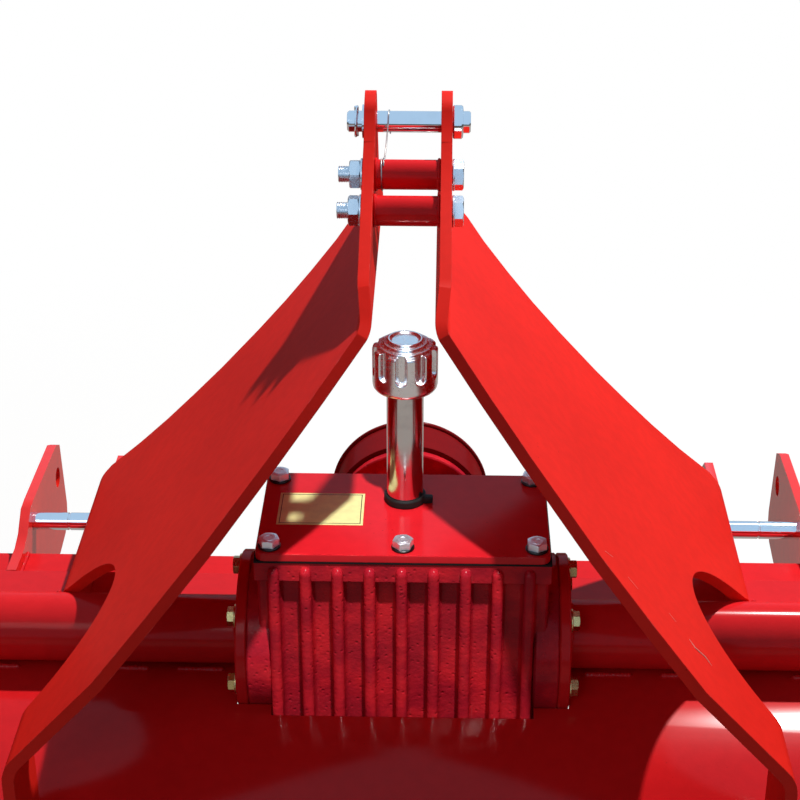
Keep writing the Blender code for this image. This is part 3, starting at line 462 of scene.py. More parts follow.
def slab(outline, low, high, axis="X", edge=0.0, segments=2):
    """Closed plate of a flat outline with bevelled edges; X takes (y, z), Y takes (z, x), Z takes (x, y)."""
    mesh = bmesh.new()
    ends = [[mesh.verts.new(on_axis(axis, level, first, second)) for first, second in outline]
            for level in (low, high)]
    skinned(mesh, ends)
    if edge > 0.0:
        rim = [line for line in mesh.edges if line.calc_face_angle(0.0) > math.radians(50.0)]
        bmesh.ops.bevel(mesh, geom=rim, offset=edge, segments=segments, profile=0.5, affect="EDGES")
    return mesh


def moved(mesh, place):
    bmesh.ops.translate(mesh, vec=place, verts=mesh.verts)
    return mesh


def brick(size, centre, edge=0.001, segments=2):
    half_x, half_y, half_z = (length / 2.0 for length in size)
    outline = [(-half_x, -half_y), (half_x, -half_y), (half_x, half_y), (-half_x, half_y)]
    return moved(slab(outline, -half_z, half_z, "Z", edge, segments), centre)


def sweep(points, radius, sides=10, closed=False):
    """Round bar along points; radius may be a function of the share along it."""
    mesh = bmesh.new()
    count = len(points)
    spots = [Vector(point) for point in points]
    rings = []
    up = None
    for index, spot in enumerate(spots):
        before = spots[index - 1] if index or closed else spot
        after = spots[(index + 1) % count] if index < count - 1 or closed else spot
        along = (after - before).normalized()
        if up is None:
            up = along.orthogonal().normalized()
        up = (up - along * up.dot(along)).normalized()
        across = along.cross(up)
        here = radius(index / (count - 1)) if callable(radius) else radius
        ring = []
        for side in range(sides):
            angle = math.tau * side / sides
            ring.append(mesh.verts.new(spot + (up * math.cos(angle) + across * math.sin(angle)) * here))
        rings.append(ring)
    return skinned(mesh, rings, closed)


def as_data(name, mesh):
    data = bpy.data.meshes.new(name)
    mesh.to_mesh(data)
    mesh.free()
    return data


def placed(name, data):
    made = bpy.data.objects.new(name, data)
    bpy.context.scene.collection.objects.link(made)
    return made


def join(meshes):
    """One mesh from several."""
    whole = bmesh.new()
    for mesh in meshes:
        data = as_data("joined", mesh)
        whole.from_mesh(data)
        bpy.data.meshes.remove(data)
    return whole


def aimed(direction, spin):
    """Turn that takes +Z to a direction, after a spin about it."""
    turn = Vector((0.0, 0.0, 1.0)).rotation_difference(Vector(direction)).to_matrix()
    return turn @ Matrix.Rotation(spin, 3, "Z")


def turned_to(mesh, direction, centre, spin):
    bmesh.ops.rotate(mesh, cent=(0.0, 0.0, 0.0), matrix=aimed(direction, spin), verts=mesh.verts)
    return moved(mesh, centre)


def sided(mesh, side):
    """The mesh as it is on the right, and mirrored on the left."""
    if side < 0:
        bmesh.ops.scale(mesh, vec=(-1.0, 1.0, 1.0), verts=mesh.verts)
        bmesh.ops.reverse_faces(mesh, faces=mesh.faces)
    return mesh


def shaded(data, sharp):
    data.shade_smooth()
    data.set_sharp_from_angle(angle=math.radians(sharp))
    return data


def made_plain(made):
    """Gives an object the mesh that its modifiers make, and takes the modifiers off."""
    bpy.context.view_layer.update()
    graph = bpy.context.evaluated_depsgraph_get()
    result = bpy.data.meshes.new_from_object(made.evaluated_get(graph))
    made.modifiers.clear()
    made.data = result


def piece(name, mesh, material, replaces=None, sharp=35.0):
    """A finished object on the frame, from a mesh whose places are given from the axle line."""
    data = as_data(name, moved(mesh, AXLE))
    data.materials.append(MATERIALS[material])
    made = placed(name, shaded(data, sharp))
    made.modifiers.new("even", "WEIGHTED_NORMAL").keep_sharp = True
    made_plain(made)
    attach(made, "frame")
    if replaces:
        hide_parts(replaces)


def scatter_group():
    """Geometry nodes that put one mesh at each point, turned by the stored angles, and give a material."""
    group, tree, given, result = node_group(
        "scatter", (("Geometry", "Geometry"), ("Master", "Object"), ("Finish", "Material")),
        (("Geometry", "Geometry"),), "Geometry")
    master = tree.add("GeometryNodeObjectInfo", {"Object": given["Master"]}, transform_space="ORIGINAL")
    turn = tree.add("GeometryNodeInputNamedAttribute", {"Name": "turn"}, data_type="FLOAT_VECTOR")
    rotation = tree.add("FunctionNodeEulerToRotation", {0: turn.outputs["Attribute"]})
    copies = tree.add("GeometryNodeInstanceOnPoints", {
        "Points": given["Geometry"], "Instance": master.outputs["Geometry"], "Rotation": rotation.outputs[0]})
    real = tree.add("GeometryNodeRealizeInstances", {0: copies.outputs[0]})
    finish = tree.add("GeometryNodeSetMaterial", {"Geometry": real.outputs[0], "Material": given["Finish"]})
    tree.link(finish.outputs[0], result[0])
    return group


SCATTER = scatter_group()


def scatter(name, mesh, places, material, body="frame"):
    """One object with a copy of a mesh at each (place, direction, spin); places are from the axle line."""
    master = placed(name + "_master", shaded(as_data(name + "_master", mesh), 30.0))
    points = bpy.data.meshes.new(name + "_points")
    points.from_pydata([tuple(AXLE + Vector(place)) for place, direction, spin in places], [], [])
    turns = points.attributes.new("turn", "FLOAT_VECTOR", "POINT")
    for index, (place, direction, spin) in enumerate(places):
        turns.data[index].vector = aimed(direction, spin).to_euler()
    made = placed(name, points)
    modifier = made.modifiers.new("scatter", "NODES")
    modifier.node_group = SCATTER
    sockets = {item.name: item.identifier for item in SCATTER.interface.items_tree if item.in_out == "INPUT"}
    modifier[sockets["Master"]] = master
    modifier[sockets["Finish"]] = MATERIALS[material]
    made_plain(made)
    bpy.data.objects.remove(master)
    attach(made, body)


# Fasteners


def hexagon(flats, height, both=False, sides=48):
    """Hexagon head or nut along +Z with the round chamfer of real ones, on its top or on both ends."""
    apothem = flats / 2.0
    face = apothem * 0.96

    def profile(corner):
        drop = (corner - face) * 0.5
        low = [(face, 0.0), (corner, drop)] if both else [(corner, 0.0)]
        return low + [(corner, height - drop), (face, height)]

    mesh = bmesh.new()
    rings = []
    for index in range(len(profile(apothem))):
        ring = []
        for side in range(sides):
            angle = math.tau * side / sides
            wrapped = (angle + math.pi / 6.0) % (math.pi / 3.0) - math.pi / 6.0
            radius, level = profile(apothem / math.cos(wrapped))[index]
            ring.append(mesh.verts.new((radius * math.cos(angle), radius * math.sin(angle), level)))
        rings.append(ring)
    return skinned(mesh, rings)


def washer(outer, bore, thick):
    return rimmed(bore, outer, 0.0, thick, thick * 0.25, thick * 0.25, sides=40)


def thread(radius, low, high):
    """Threaded end with a chamfered tip, drawn as a row of ridges."""
    pitch = 0.0015
    turns = max(2, int((high - low) / pitch))
    profile = [(0.0, low)]
    for turn in range(turns):
        start = low + turn * (high - low) / turns
        profile += [(radius * 0.9, start), (radius, start + pitch * 0.5)]
    return lathe(profile + [(radius * 0.88, high), (0.0, high)], sides=32)


def head_bolt(flats, height, washer_radius=0.0, washer_thick=0.0, ring=0.0):
    """Hexagon head with its low end on the surface; it may have a washer, or a ring on its top."""
    parts = [washer(washer_radius, flats * 0.25, washer_thick)] if washer_radius else []
    parts.append(moved(hexagon(flats, height), (0.0, 0.0, washer_thick)))
    if ring:
        dish = hoop(flats * 0.2, flats * 0.36, 0.0, ring, sides=40)
        parts.append(moved(dish, (0.0, 0.0, washer_thick + height - ring * 0.3)))
    return join(parts)


def stud_nut(flats, height, stub, washer_radius, washer_thick):
    """Nut with its washer and the threaded end that stands out of it."""
    top = washer_thick + height
    nut = moved(hexagon(flats, height, both=True), (0.0, 0.0, washer_thick))
    return join([washer(washer_radius, flats * 0.3, washer_thick), nut,
                 thread(flats * 0.31, top - 0.001, top + stub)])


def bolt_circle(x, radius, start, side, centre=(0.0, 0.0)):
    """Six places on a circle round the X axis; a start of 0 is towards the rear, turning upwards."""
    rows = []
    for index in range(6):
        angle = math.radians(start + 60.0 * index)
        place = (x, centre[0] - radius * math.cos(angle), centre[1] + radius * math.sin(angle))
        rows.append((place, (side, 0.0, 0.0), 0.35 * index))
    return rows


# Gearbox

BOX_HALF = 0.1288
BOX_REAR = -0.0605
BOX_UP = 0.1198
COVER_TOP = 0.1276
FIN_HALF = 0.0049
FIN_REAR = -0.077
FIN_FOOT = -0.08
FIN_PITCH = 0.0277
# Outer face of the tube flanges, and of the seats that they are screwed to
FLANGE_OUT = 0.1491
SEAT_OUT = 0.1388
# Front end of the input neck, and the faces of its flange
NECK_END = 0.2015
NECK_FLANGE_IN = 0.2018
NECK_FLANGE_OUT = 0.2118


def fin_mesh(middle):
    """One cast fin: round rear edge, fillets at its foot and a domed top."""
    nose = FIN_HALF * 0.75
    section = [(FIN_HALF + 0.003, BOX_REAR + 0.0004), (FIN_HALF + 0.0012, BOX_REAR - 0.0014),
               (FIN_HALF + 0.0003, BOX_REAR - 0.004)]
    for step in range(13):
        angle = math.radians(step * 15.0)
        section.append((FIN_HALF * math.cos(angle), FIN_REAR + nose - nose * math.sin(angle)))
    section += [(-x, y) for x, y in section[2::-1]]
    dome = 0.0068
    dome_foot = BOX_UP - 0.005 - dome
    levels = [(FIN_FOOT + 0.0097 * step, 1.0) for step in range(20)]
    for angle in (0.0, 20.0, 40.0, 58.0, 72.0, 84.0):
        turn = math.radians(angle)
        levels.append((dome_foot + dome * math.sin(turn), max(math.cos(turn), 0.12)))
    mesh = bmesh.new()
    rings = []
    for level, share in levels:
        depth = 0.45 + 0.55 * share
        rings.append([mesh.verts.new((middle + x * share, BOX_REAR + (y - BOX_REAR) * depth, level))
                      for x, y in section])
    return skinned(mesh, rings)


def gearbox_casting():
    """Box with its top band, nine fins, the seats of the cross tubes and the ribbed input neck."""
    parts = [brick((2.0 * (BOX_HALF - 0.0012), 0.121, 0.1992), (0.0, 0.0, 0.0196), 0.004, 3),
             brick((2.0 * BOX_HALF, 0.1392, 0.0208), (0.0, -0.0018, BOX_UP - 0.0104), 0.0015)]
    parts += [fin_mesh(-0.001 + (index - 4) * FIN_PITCH) for index in range(9)]
    for side in (-1, 1):
        seat = lathe([(0.0, 0.115), (0.07, 0.115), (0.0722, 0.1165), (FLANGE_RADIUS, 0.118),
                      (FLANGE_RADIUS, SEAT_OUT - 0.0016), (0.0725, SEAT_OUT), (0.0, SEAT_OUT)], "X", 96)
        parts.append(sided(seat, side))
    parts.append(lathe([
        (0.0, 0.02), (0.052, 0.02), (0.052, 0.06), (0.047, 0.066), (0.044, 0.075), (0.044, 0.1945),
        (0.045, 0.199), (0.05, NECK_END), (0.0, NECK_END)], "Y", 72))
    for angle in range(45, 360, 90):
        rib = slab([(0.0, 0.044), (0.0, 0.07), (0.01, 0.07), (0.06, 0.047), (0.13, 0.043)],
                   -0.004, 0.004, "X", 0.001)
        bmesh.ops.rotate(moved(rib, (0.0, 0.06, 0.0)), cent=(0.0, 0.0, 0.0), verts=rib.verts,
                         matrix=Matrix.Rotation(math.radians(angle), 3, "Y"))
        parts.append(rib)
    piece("gearbox_casting", join(parts), "casting", "gearbox_housing")


def tubes():
    """Cross tubes with their welded flanges, and the flange screws."""
    bore = 0.0265
    rim = FLANGE_RADIUS - 0.0012
    flange_in = FLANGE_OUT - 0.01
    profile = [(bore, flange_in), (rim, flange_in), (FLANGE_RADIUS, flange_in + 0.0012),
               (FLANGE_RADIUS, FLANGE_OUT - 0.0012), (rim, FLANGE_OUT), (0.0372, FLANGE_OUT),
               (0.034, FLANGE_OUT + 0.0012), (0.0322, FLANGE_OUT + 0.0034),
               (TUBE_RADIUS, FLANGE_OUT + 0.006), (TUBE_RADIUS, TUBE_END - 0.001),
               (TUBE_RADIUS - 0.001, TUBE_END), (bore, TUBE_END)]
    for name, side in SIDES:
        tube = sided(lathe(profile, "X", 96), side)
        piece("axle_tube_" + name + "_round", tube, "tube_paint", "axle_tube_" + name)
    screws = []
    for side in (1, -1):
        screws += bolt_circle(side * FLANGE_OUT, 0.062, 45.0, side)
    scatter("flange_screws", head_bolt(0.015, 0.0062, 0.0105, 0.0018), screws, "yellow_zinc")


def gearbox_cover_trim():
    """Screws, washers, gasket and the blank yellow plate on the cover; the washers are black, partly real
    washers and partly painted shade round the screw heads.
    """
    thick = 0.0024
    spots = [(x, y) for x in (-0.1156, 0.0, 0.1156) for y in (-0.0597, 0.0561)]

    def upright(level):
        return [((x, y, level), (0.0, 0.0, 1.0), 0.4 + 0.7 * index) for index, (x, y) in enumerate(spots)]

    # Black washers: real washers whose black is painted shade, the ring of shade round each screw head
    scatter("cover_washers", washer(0.01, 0.005, thick), upright(COVER_TOP), "black_steel")
    screw = head_bolt(0.016, 0.0066, ring=0.0006)
    scatter("cover_screws", screw, upright(COVER_TOP + thick), "dull_zinc")
    cover = [(-0.1283, -0.0719), (0.1283, -0.0719), (0.1283, 0.0683), (-0.1283, 0.0683)]
    rim = [(x * 1.003, y * 1.006) for x, y in cover]
    piece("cover_gasket", slab(rim, BOX_UP - 0.0015, BOX_UP + 0.0004, "Z"), "gasket")
    left, right, rear, front = -0.1128, -0.0362, -0.0235, 0.0313
    middle_x, middle_y = (left + right) / 2.0, (rear + front) / 2.0
    wide, deep = right - left, front - rear
    plate = brick((wide, deep, 0.0004), (middle_x, middle_y, COVER_TOP + 0.0002), 0.0001, 1)
    piece("yellow_plate", plate, "plate_yellow")
    line, line_thick, inset = 0.0007, 0.0001, 0.0026
    level = COVER_TOP + 0.00043
    bars = [brick((wide - 0.004, line, line_thick), (middle_x, y, level), 0.0)
            for y in (rear + inset, front - inset)]
    bars += [brick((line, deep - 0.0045, line_thick), (x, middle_y, level), 0.0)
             for x in (left + inset, right - inset)]
    piece("yellow_plate_border", join(bars), "plate_ink")


# Filler pipe, from its foot on the cover, and the breather cap on it
FILLER = (0.0, 0.0226, 0.1279)
PIPE_RADIUS = 0.0163
PIPE_LENGTH = 0.1135
CAP_LOW = 0.2422
CAP_RADIUS = 0.0286
FLUTE_HALF = 0.0052
FLUTE_DEPTH = 0.0046
# Flutes of the cap in degrees: where the first one is, and from one to the next
FLUTE_START = 84.0
FLUTE_PITCH = 36.0


def fluted(radius, along, angle):
    """Radius of the cap with ten scoops with a round foot, which open into the shoulder."""
    if along < 0.01 or along > 0.0405:
        return radius
    half = FLUTE_PITCH / 2.0
    turn = (math.degrees(angle) - FLUTE_START + half) % FLUTE_PITCH - half
    across = math.radians(turn) * CAP_RADIUS / FLUTE_HALF
    down = min((along - 0.019) / 0.0056, 0.0)
    inside = 1.0 - math.hypot(across, down)
    rise = min(1.0, max(0.0, inside) * 2.8)
    return min(radius, CAP_RADIUS - FLUTE_DEPTH * rise * rise * (3.0 - 2.0 * rise))


def filler():
    """Plated pipe, rubber collar with its lug, and the fluted breather cap."""
    tube = lathe([(0.0, 0.0), (PIPE_RADIUS, 0.0), (PIPE_RADIUS, PIPE_LENGTH - 0.0015),
                  (PIPE_RADIUS - 0.0005, PIPE_LENGTH), (0.0, PIPE_LENGTH)], "Z", 96, FILLER)
    piece("filler_tube", tube, "pipe_plate", "filler_pipe")
    ring = lathe([(0.0166, 0.0), (0.018, 0.0), (0.0187, 0.001), (0.0187, 0.0062), (0.0178, 0.0074),
                  (0.0166, 0.0074)], "Z", 72, FILLER)
    lug = brick((0.009, 0.008, 0.0062), (0.0205, 0.018, 0.1313), 0.0015)
    piece("filler_seal", join([ring, lug]), "rubber", "filler_collar")
    outline = [(0.0, 0.0), (0.015, 0.0), (0.025, 0.0), (0.0268, 0.0006), (0.028, 0.0022),
               (0.0285, 0.0045), (CAP_RADIUS, 0.0075)]
    outline += [(CAP_RADIUS, 0.0105 + 0.00075 * step) for step in range(36)]
    outline += [(0.0284, 0.0376), (0.028, 0.0384), (0.0273, 0.0389), (0.0264, 0.0391), (0.0246, 0.0392),
                (0.0243, 0.0396), (0.0241, 0.0409), (0.0237, 0.0414), (0.023, 0.0416), (0.0204, 0.0417),
                (0.0201, 0.0421), (0.0199, 0.0437), (0.0195, 0.0442), (0.0188, 0.0444), (0.0164, 0.0445),
                (0.0161, 0.0449), (0.0158, 0.0462), (0.0154, 0.0468), (0.0148, 0.047), (0.0138, 0.047),
                (0.0132, 0.0467), (0.0126, 0.0456), (0.012, 0.0451), (0.0108, 0.0449), (0.0, 0.0449)]
    cap = lathe(outline, "Z", 320, (FILLER[0], FILLER[1], CAP_LOW), fluted)
    piece("breather_cap_fluted", cap, "cap_chrome", "breather_cap", sharp=60.0)


def input_side():
    """Neck flange, shield cup with its rolled rim, and the screws that hold the cup."""
    flange = rimmed(0.019, FLANGE_RADIUS, NECK_FLANGE_IN, NECK_FLANGE_OUT, 0.0015, 0.0015,
                    axis="Y", sides=96)
    piece("neck_flange", flange, "casting", "input_flange")
    cup_floor = 0.2161
    profile = [(0.045, 0.2121), (0.0762, 0.2121), (0.0778, 0.2128), (0.0782, 0.2145), (0.0782, 0.2562)]
    for step in range(9):
        angle = math.radians(-110.0 + 27.5 * step)
        profile.append((0.078 + 0.0032 * math.cos(angle), 0.2592 + 0.0029 * math.sin(angle)))
    profile += [(0.0744, 0.259), (0.0742, 0.218), (0.0735, 0.2166), (0.072, cup_floor),
                (0.045, cup_floor)]
    # The cup takes the darkened paint, which is painted shade
    piece("shield_cup", lathe(profile, "Y", 96), "shield_paint", "pto_shield")
    screws = []
    nuts = []
    for angle in (42.0, 138.0, 222.0, 318.0):
        turn = math.radians(angle)
        x, z = 0.06 * math.cos(turn), 0.06 * math.sin(turn)
        screws.append(((x, cup_floor, z), (0.0, 1.0, 0.0), turn))
        nuts.append(((x, NECK_FLANGE_IN, z), (0.0, -1.0, 0.0), turn))
    scatter("shield_screws", head_bolt(0.013, 0.0055, 0.01, 0.0016), screws, "zinc")
    scatter("shield_nuts", hexagon(0.013, 0.006, both=True), nuts, "zinc")


# Mast

# Side outline of a mast plate in Y and Z: the edge up to the crest, and the edge down from it
MAST_REAR_EDGE = (
    (-0.236, 0.105), (-0.2264, 0.123), (-0.213, 0.148), (-0.183, 0.1962), (-0.1323, 0.2555),
    (-0.0977, 0.2914), (-0.058, 0.3285), (-0.02, 0.356), (0.06, 0.398), (0.1246, 0.4306), (0.137, 0.455))
MAST_FRONT_EDGE = (
    (0.205, 0.405), (0.25, 0.322), (0.2455, 0.308), (0.2275, 0.291), (0.2125, 0.266), (0.2015, 0.2395),
    (0.196, 0.21), (0.1945, 0.17), (0.199, 0.137), (0.2055, 0.1066), (0.218, 0.0725), (0.2386, 0.0336),
    (0.2356, 0.0196), (0.2356, -0.0078), (0.225, -0.0087), (0.203, -0.0257), (0.184, -0.0313),
    (0.15, -0.0312))
CREST = (0.163, 0.4416)
CREST_RADIUS = 0.022
ARCH = (-0.0724, 0.0031)
ARCH_RADIUS = 0.092
# Ends of the sloping part of a mast plate in X and Z, on its middle line
SLOPE_TOP = (0.03, 0.3318)
SLOPE_FOOT = (0.317, 0.0186)
MAST_HALF_THICK = 0.005
# Outer face of the mast's upright top in X, then its bolts and pin in Y and Z
MAST_FACE = 0.0393
UPPER_BOLT = (0.1155, 0.4035)
LOWER_BOLT = (0.0825, 0.3825)
TOP_PIN = (0.168, 0.434)
# Scores in the paint of the right plate: runs of places in Y and Z
SCORES = (
    ((-0.1667, 0.1942), (-0.1633, 0.1865)), ((-0.1721, 0.1735), (-0.1757, 0.1646)),
    ((-0.1639, 0.1343), (-0.1675, 0.128)),
    ((-0.1747, 0.1166), (-0.18, 0.1116), (-0.1784, 0.1018), (-0.182, 0.0956)))


def hood_level(y, radius=HOOD_RADIUS):
    """Height of the hood's round back at a place along Y."""
    return ROTOR_AXIS[1] + math.sqrt(radius ** 2 - (y - ROTOR_AXIS[0]) ** 2)


def mast_outline():
    """Side outline of a mast plate in Y and Z, round the crest, the tube, the arch and the hood."""
    outline = list(MAST_REAR_EDGE) + arc_points(CREST, CREST_RADIUS, 120.0, 20.0, 10)
    outline += MAST_FRONT_EDGE
    saddle = arc_points((0.0, 0.0), TUBE_RADIUS + 0.0003, -60.0, 56.0, 16)
    outline += [(saddle[0][0], MAST_FRONT_EDGE[-1][1])] + saddle
    outline += arc_points(ARCH, ARCH_RADIUS, 20.0, 176.0, 32)
    leg_y = outline[-1][0]
    for step in range(9):
        y = leg_y + (MAST_REAR_EDGE[0][0] - leg_y) * step / 8.0
        outline.append((y, hood_level(y)))
    return outline


def bent_path():
    """Middle line of the bent plate in X and Z, with a normal at each of its points."""
    corners = [Vector(corner) for corner in (
        (0.034, 0.475), (0.034, 0.358), SLOPE_TOP, SLOPE_FOOT, (SLOPE_FOOT[0], -0.25))]
    path = [corners[0]]
    for index, radius in ((1, 0.03), (2, 0.015), (3, 0.03)):
        here = corners[index]
        before = (corners[index - 1] - here).normalized()
        after = (corners[index + 1] - here).normalized()
        half = before.angle(after) / 2.0
        centre = here + (before + after).normalized() * radius / math.sin(half)
        first = here + before * radius / math.tan(half) - centre
        last = here + after * radius / math.tan(half) - centre
        turn = first.angle_signed(last)
        path += [centre + Matrix.Rotation(-turn * step / 10.0, 2) @ first for step in range(11)]
    path.append(corners[-1])
    normals = []
    for before, after in zip(path[:1] + path[:-1], path[1:] + path[-1:]):
        along = (after - before).normalized()
        normals.append(Vector((-along.y, along.x)))
    return path, normals


def mast_plates():
    """Bent plates whose cut edges stand square to the sheet, as a plate cut flat and then bent has."""
    path, normals = bent_path()
    lengths = run_lengths(path)

    def length_at(z):
        for index, (upper, lower) in enumerate(zip(path, path[1:])):
            if upper.y >= z >= lower.y:
                share = (upper.y - z) / (upper.y - lower.y)
                return lengths[index] + (lengths[index + 1] - lengths[index]) * share
        return lengths[-1]

    def bent(length, y, off):
        index, share = stretch_at(lengths, length)
        place = path[index].lerp(path[index + 1], share)
        place += normals[index].lerp(normals[index + 1], share).normalized() * off
        return (place.x, y, place.y)

    for name, side in SIDES:
        flat = bmesh.new()
        flat.faces.new([flat.verts.new((length_at(z), y, 0.0)) for y, z in mast_outline()])
        for length in lengths[1:-1]:
            bmesh.ops.bisect_plane(flat, geom=flat.verts[:] + flat.edges[:] + flat.faces[:],
                                   plane_co=(length, 0.0, 0.0), plane_no=(1.0, 0.0, 0.0), dist=1e-6)
        flat.verts.index_update()
        plate = bmesh.new()
        skins = [[plate.verts.new(bent(corner.co.x, corner.co.y, off)) for corner in flat.verts]
                 for off in (-MAST_HALF_THICK, MAST_HALF_THICK)]
        for face in flat.faces:
            for skin in skins:
                plate.faces.new([skin[corner.index] for corner in face.verts])
        for edge in flat.edges:
            if edge.is_boundary:
                first, second = (corner.index for corner in edge.verts)
                plate.faces.new((skins[0][first], skins[0][second], skins[1][second], skins[1][first]))
        flat.free()
        bmesh.ops.recalc_face_normals(plate, faces=plate.faces)
        rim = [line for line in plate.edges if line.calc_face_angle(0.0) > math.radians(60.0)]
        bmesh.ops.bevel(plate, geom=rim, offset=0.0009, segments=2, profile=0.5, affect="EDGES",
                        clamp_overlap=True)
        piece("mast_plate_" + name + "_bent", sided(plate, side), "plate_paint", "mast_plate_" + name,
              sharp=40.0)


def plate_scores():
    """Thin pale slivers where the paint of the right plate is scored to the primer."""
    run = Vector(SLOPE_FOOT) - Vector(SLOPE_TOP)
    skin = Vector(SLOPE_TOP) + Vector((-run.y, run.x)).normalized() * MAST_HALF_THICK
    slivers = []
    for score in SCORES:
        spots = [(skin.x + (skin.y - z) * -run.x / run.y, y, z) for y, z in score]
        slivers.append(sweep(spots, lambda share: 0.0002 + 0.0006 * math.sin(math.pi * share), 8))
    piece("plate_scores", join(slivers), "primer")


def mast_fasteners():
    """Bolts with their nuts, the round spacers that they pass through, and the top pin."""
    flats, height, washer_radius, washer_thick = 0.0236, 0.0098, 0.014, 0.002
    shank, spacer_radius, spacer_half = 0.0079, 0.0132, 0.0287
    for name, (y, z), spin in (("upper", UPPER_BOLT, 0.3), ("lower", LOWER_BOLT, 0.12)):
        line = (0.0, y, z)
        parts = [
            turned_to(stud_nut(flats, height, height, washer_radius, washer_thick), (-1.0, 0.0, 0.0),
                      (-MAST_FACE, y, z), spin),
            turned_to(head_bolt(flats, 0.008, washer_radius, washer_thick), (1.0, 0.0, 0.0),
                      (MAST_FACE, y, z), spin),
            lathe([(0.0, -MAST_FACE), (shank, -MAST_FACE), (shank, MAST_FACE), (0.0, MAST_FACE)],
                  "X", 32, line)]
        piece("mast_bolt_" + name + "_hex", join(parts), "zinc", "mast_bolt_" + name)
        parts = [rimmed(0.0086, spacer_radius, -spacer_half, spacer_half, 0.0006, 0.0007,
                        axis="X", sides=64, centre=line)]
        for side in (-1, 1):
            seam = arc_about_x(side * 0.0276, (y, z), 0.0134, 0.0, 352.5, 47)
            parts.append(sweep(seam, 0.0014, 8, True))
        piece("mast_spacer_" + name + "_round", join(parts), "tube_paint", "mast_spacer_" + name)
    y, z = TOP_PIN
    line = (0.0, y, z)
    pin = lathe([(0.0, -0.0553), (0.0078, -0.0553), (0.0095, -0.0536), (0.0095, MAST_FACE),
                 (0.014, MAST_FACE), (0.015, 0.0405), (0.015, 0.047), (0.0138, 0.0484),
                 (0.0098, 0.0488), (0.0098, 0.054), (0.0085, 0.0553), (0.0, 0.0553)], "X", 64, line)
    clip_x = -0.047
    clip = sweep([(clip_x, y, z - 0.0135), (clip_x, y, z + 0.014)], 0.002, 12)
    disc = hoop(0.0097, 0.015, -0.0416, -0.0396, axis="X", sides=48, centre=line)
    ring = [(clip_x + 0.0006 * math.sin(math.tau * step / 48), *place[1:])
            for step, place in enumerate(arc_about_x(0.0, TOP_PIN, 0.013, 0.0, 352.5, 47))]
    parts = [pin, clip, disc, sweep(ring, 0.0013, 8, True)]
    piece("top_pin_round", join(parts), "chrome", "top_link_pin")


def lanyard():
    """Thin wire from the top pin, tied round the upper spacer."""
    points = arc_about_x((-0.0232, -0.021), UPPER_BOLT, 0.014, 90.0, 485.0, 40)
    pin_turn = 0.0102
    start = Vector(points[-1])
    end = Vector((-0.0185, TOP_PIN[0] - pin_turn, TOP_PIN[1] + 0.001))
    for step in range(1, 13):
        share = step / 12.0
        sag = Vector((0.0, 0.0, -0.0045 * math.sin(math.pi * share)))
        points.append(tuple(start.lerp(end, share) + sag))
    points += arc_about_x((-0.0185, -0.0165), TOP_PIN, pin_turn, 180.0, -120.0, 24)[1:]
    piece("pin_wire", sweep(points, 0.0007, 8), "bare_steel")


# Hitch, welds and screws

LOWER_PIN = (0.236, -0.03)
# Inner face of each hitch ear, with its side
EARS = ((0.311, -1), (0.393, -1), (0.318, 1), (0.403, 1))
EAR_THICK = 0.01
# Middle of the rear board's hinge rod in Y and Z
HINGE = (-0.25546, -0.19368)
# Hitch bar in Y and Z
BAR_REAR = 0.143
BAR_FRONT = 0.2
BAR_TOP = -0.0464


def lower_pins():
    """Lower link pins with a turned groove, and the linch pins at their inner ends."""
    y, z = LOWER_PIN
    line = (0.0, y, z)
    radius, groove_radius = 0.0092, 0.0084
    for name, side, low, high in (("left", -1, 0.299, 0.403), ("right", 1, 0.306, 0.413)):
        groove = low + 0.056
        pin = lathe([(0.0, low), (0.008, low), (radius, low + 0.0012), (radius, groove - 0.0011),
                     (groove_radius, groove - 0.0008), (groove_radius, groove + 0.0008),
                     (radius, groove + 0.0011), (radius, high - 0.001), (0.0082, high), (0.0, high)],
                    "X", 64, line)
        piece("lower_pin_" + name + "_round", sided(pin, side), "chrome", "lower_pin_" + name)
        ring = hoop(0.0093, 0.0135, low + 0.002, low + 0.0044, axis="X", sides=48, centre=line)
        clip = sweep([(low + 0.0032, y, z - 0.0162), (low + 0.0032, y, z + 0.016)], 0.0019, 10)
        piece("lower_pin_clip_" + name, sided(join([ring, clip]), side), "zinc")


def bead(points, radius):
    """Weld bead along points, with the ripples of its runs."""
    pitch = 0.0034
    spots = [Vector(point) for point in points]
    lengths = run_lengths(spots)
    total = lengths[-1]
    count = max(6, int(total / 0.0009))
    path = []
    for step in range(count + 1):
        index, share = stretch_at(lengths, total * step / count)
        path.append(spots[index].lerp(spots[index + 1], share))

    def thickness(share):
        ripple = abs(math.sin(math.pi * share * total / pitch))
        wander = 0.1 * math.sin(share * total * 170.0) + 0.06 * math.sin(share * total * 410.0 + 1.0)
        ends = min(1.0, 0.35 + share * total / 0.004, 0.35 + (1.0 - share) * total / 0.004)
        return radius * ends * (0.84 + 0.2 * ripple + wander)

    return sweep(path, thickness, 8)


